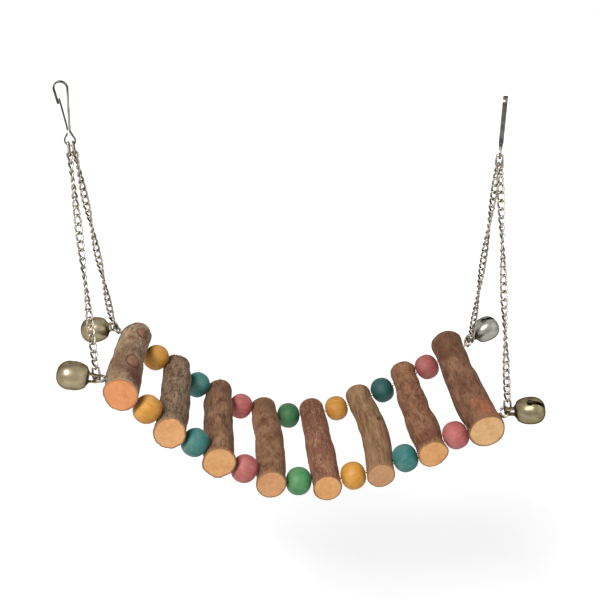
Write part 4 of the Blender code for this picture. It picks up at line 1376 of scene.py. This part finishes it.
class MakeStage(bpy.types.Operator):
    """Set the floor, the light all round, the lamps and the camera"""

    bl_idname = "bird_ladder.make_stage"
    bl_label = "Stage"

    FLOOR_SIZE = 6.0
    FLOOR_SQUARES = 12
    # The floor's own white near the object and far from it, and the distances between which it grows
    FLOOR_LIFT = (0.58, 1.0)
    LIFT_REACH = (0.25, 0.9)
    CAMERA = Vector((-0.0325, -0.3879, 0.0899))
    YAW = math.radians(6.0)
    PITCH = math.radians(-26.8)
    ROLL = math.radians(1.6)
    CLIP_START = 0.01
    # Where the lamps point to, and each lamp's place and size
    AIM = Vector((0.0, 0.0, -0.13))
    KEY = (Vector((-0.50, -0.70, 0.85)), 0.45)
    FILL = (Vector((0.85, -0.45, 0.35)), 0.9)

    def execute(self, context):
        settings = context.scene.bird_ladder.stage
        context.scene.view_settings.view_transform = "Standard"
        self.make_floor(settings)
        self.make_world(context, settings)
        self.make_lamp("key_lamp", *self.KEY, settings.key_power)
        self.make_lamp("fill_lamp", *self.FILL, settings.fill_power)
        self.make_camera(context, settings)
        return {"FINISHED"}

    def make_floor(self, settings):
        solid = Solid()
        count = self.FLOOR_SQUARES
        lines = [self.FLOOR_SIZE * (i / count - 0.5) for i in range(count + 1)]
        solid.points = [Vector((x, y, 0)) for x in lines for y in lines]
        for i in range(count):
            for j in range(count):
                corner = i * (count + 1) + j
                solid.face((corner, corner + count + 1, corner + count + 2, corner + 1))
        shader = Shader("pale_floor", kept=True)
        distance = shader.node("ShaderNodeVectorMath", {0: shader.place}, operation="LENGTH").outputs["Value"]
        lift = shader.range(distance, *self.LIFT_REACH, *self.FLOOR_LIFT)
        shader.set(
            Base_Color=(*settings.floor_colour, 1), Roughness=0.9, Specular_IOR_Level=0.0,
            Emission_Color=WHITE, Emission_Strength=shader.math("MULTIPLY", shader.seen(), lift),
        )
        mesh = solid.mesh("floor")
        mesh.materials.append(shader.material)
        floor = linked("floor", mesh)
        floor.location.z = settings.floor_height

    def make_world(self, context, settings):
        world = bpy.data.worlds.new("studio")
        context.scene.world = world
        world.use_nodes = True
        nodes = Nodes(world.node_tree)
        background = nodes.tree.nodes["Background"]
        nodes.put(background.inputs["Color"], WHITE)
        nodes.put(background.inputs["Strength"], nodes.range(nodes.seen(), 0, 1, settings.ambient, 1.0))

    def make_lamp(self, name, place, size, power):
        lamp = bpy.data.lights.new(name, "AREA")
        lamp.shape = "SQUARE"
        lamp.size = size
        lamp.energy = power
        made = linked(name, lamp)
        made.location = place
        made.rotation_euler = (place - self.AIM).to_track_quat("Z", "Y").to_euler()

    def make_camera(self, context, settings):
        camera = bpy.data.cameras.new("camera")
        camera.lens = settings.lens
        camera.clip_start = self.CLIP_START
        made = linked("camera", camera)
        level = math.cos(self.PITCH)
        ahead = Vector((math.sin(self.YAW) * level, math.cos(self.YAW) * level, math.sin(self.PITCH)))
        right = Vector((math.cos(self.YAW), -math.sin(self.YAW), 0))
        up = right.cross(ahead)
        x_axis = right * math.cos(self.ROLL) + up * math.sin(self.ROLL)
        y_axis = up * math.cos(self.ROLL) - right * math.sin(self.ROLL)
        made.matrix_world = frame_matrix(self.CAMERA, x_axis, y_axis)
        context.scene.camera = made


OPERATORS = (MakeRungs, MakeBeads, FinishWires, MakeChains, MakeHooks, MakeBells, MakeStage)
GROUPS = (
    RungSettings, BeadSettings, ChainSettings, HookSettings, BellSettings, StageSettings, LadderSettings,
)


class LadderPanel(bpy.types.Panel):
    """Lists the ladder's pieces and their settings"""

    bl_idname = "VIEW3D_PT_bird_ladder"
    bl_label = "Bird Ladder"
    bl_space_type = "VIEW_3D"
    bl_region_type = "UI"
    bl_category = "Bird Ladder"

    def draw(self, context):
        for operator in OPERATORS:
            self.layout.operator(operator.bl_idname)
        settings = context.scene.bird_ladder
        for group in LadderSettings.__annotations__:
            box = self.layout.box()
            box.label(text=group.capitalize())
            values = getattr(settings, group)
            for name in values.__annotations__:
                box.prop(values, name)


def register():
    for each in (*GROUPS, *OPERATORS, LadderPanel):
        bpy.utils.register_class(each)
    bpy.types.Scene.bird_ladder = PointerProperty(type=LadderSettings)


def unregister():
    del bpy.types.Scene.bird_ladder
    for each in (LadderPanel, *reversed(OPERATORS), *reversed(GROUPS)):
        bpy.utils.unregister_class(each)


def main():
    register()
    for operator in OPERATORS:
        group, name = operator.bl_idname.split(".")
        getattr(getattr(bpy.ops, group), name)()
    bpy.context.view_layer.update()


if __name__ == "__main__":
    main()
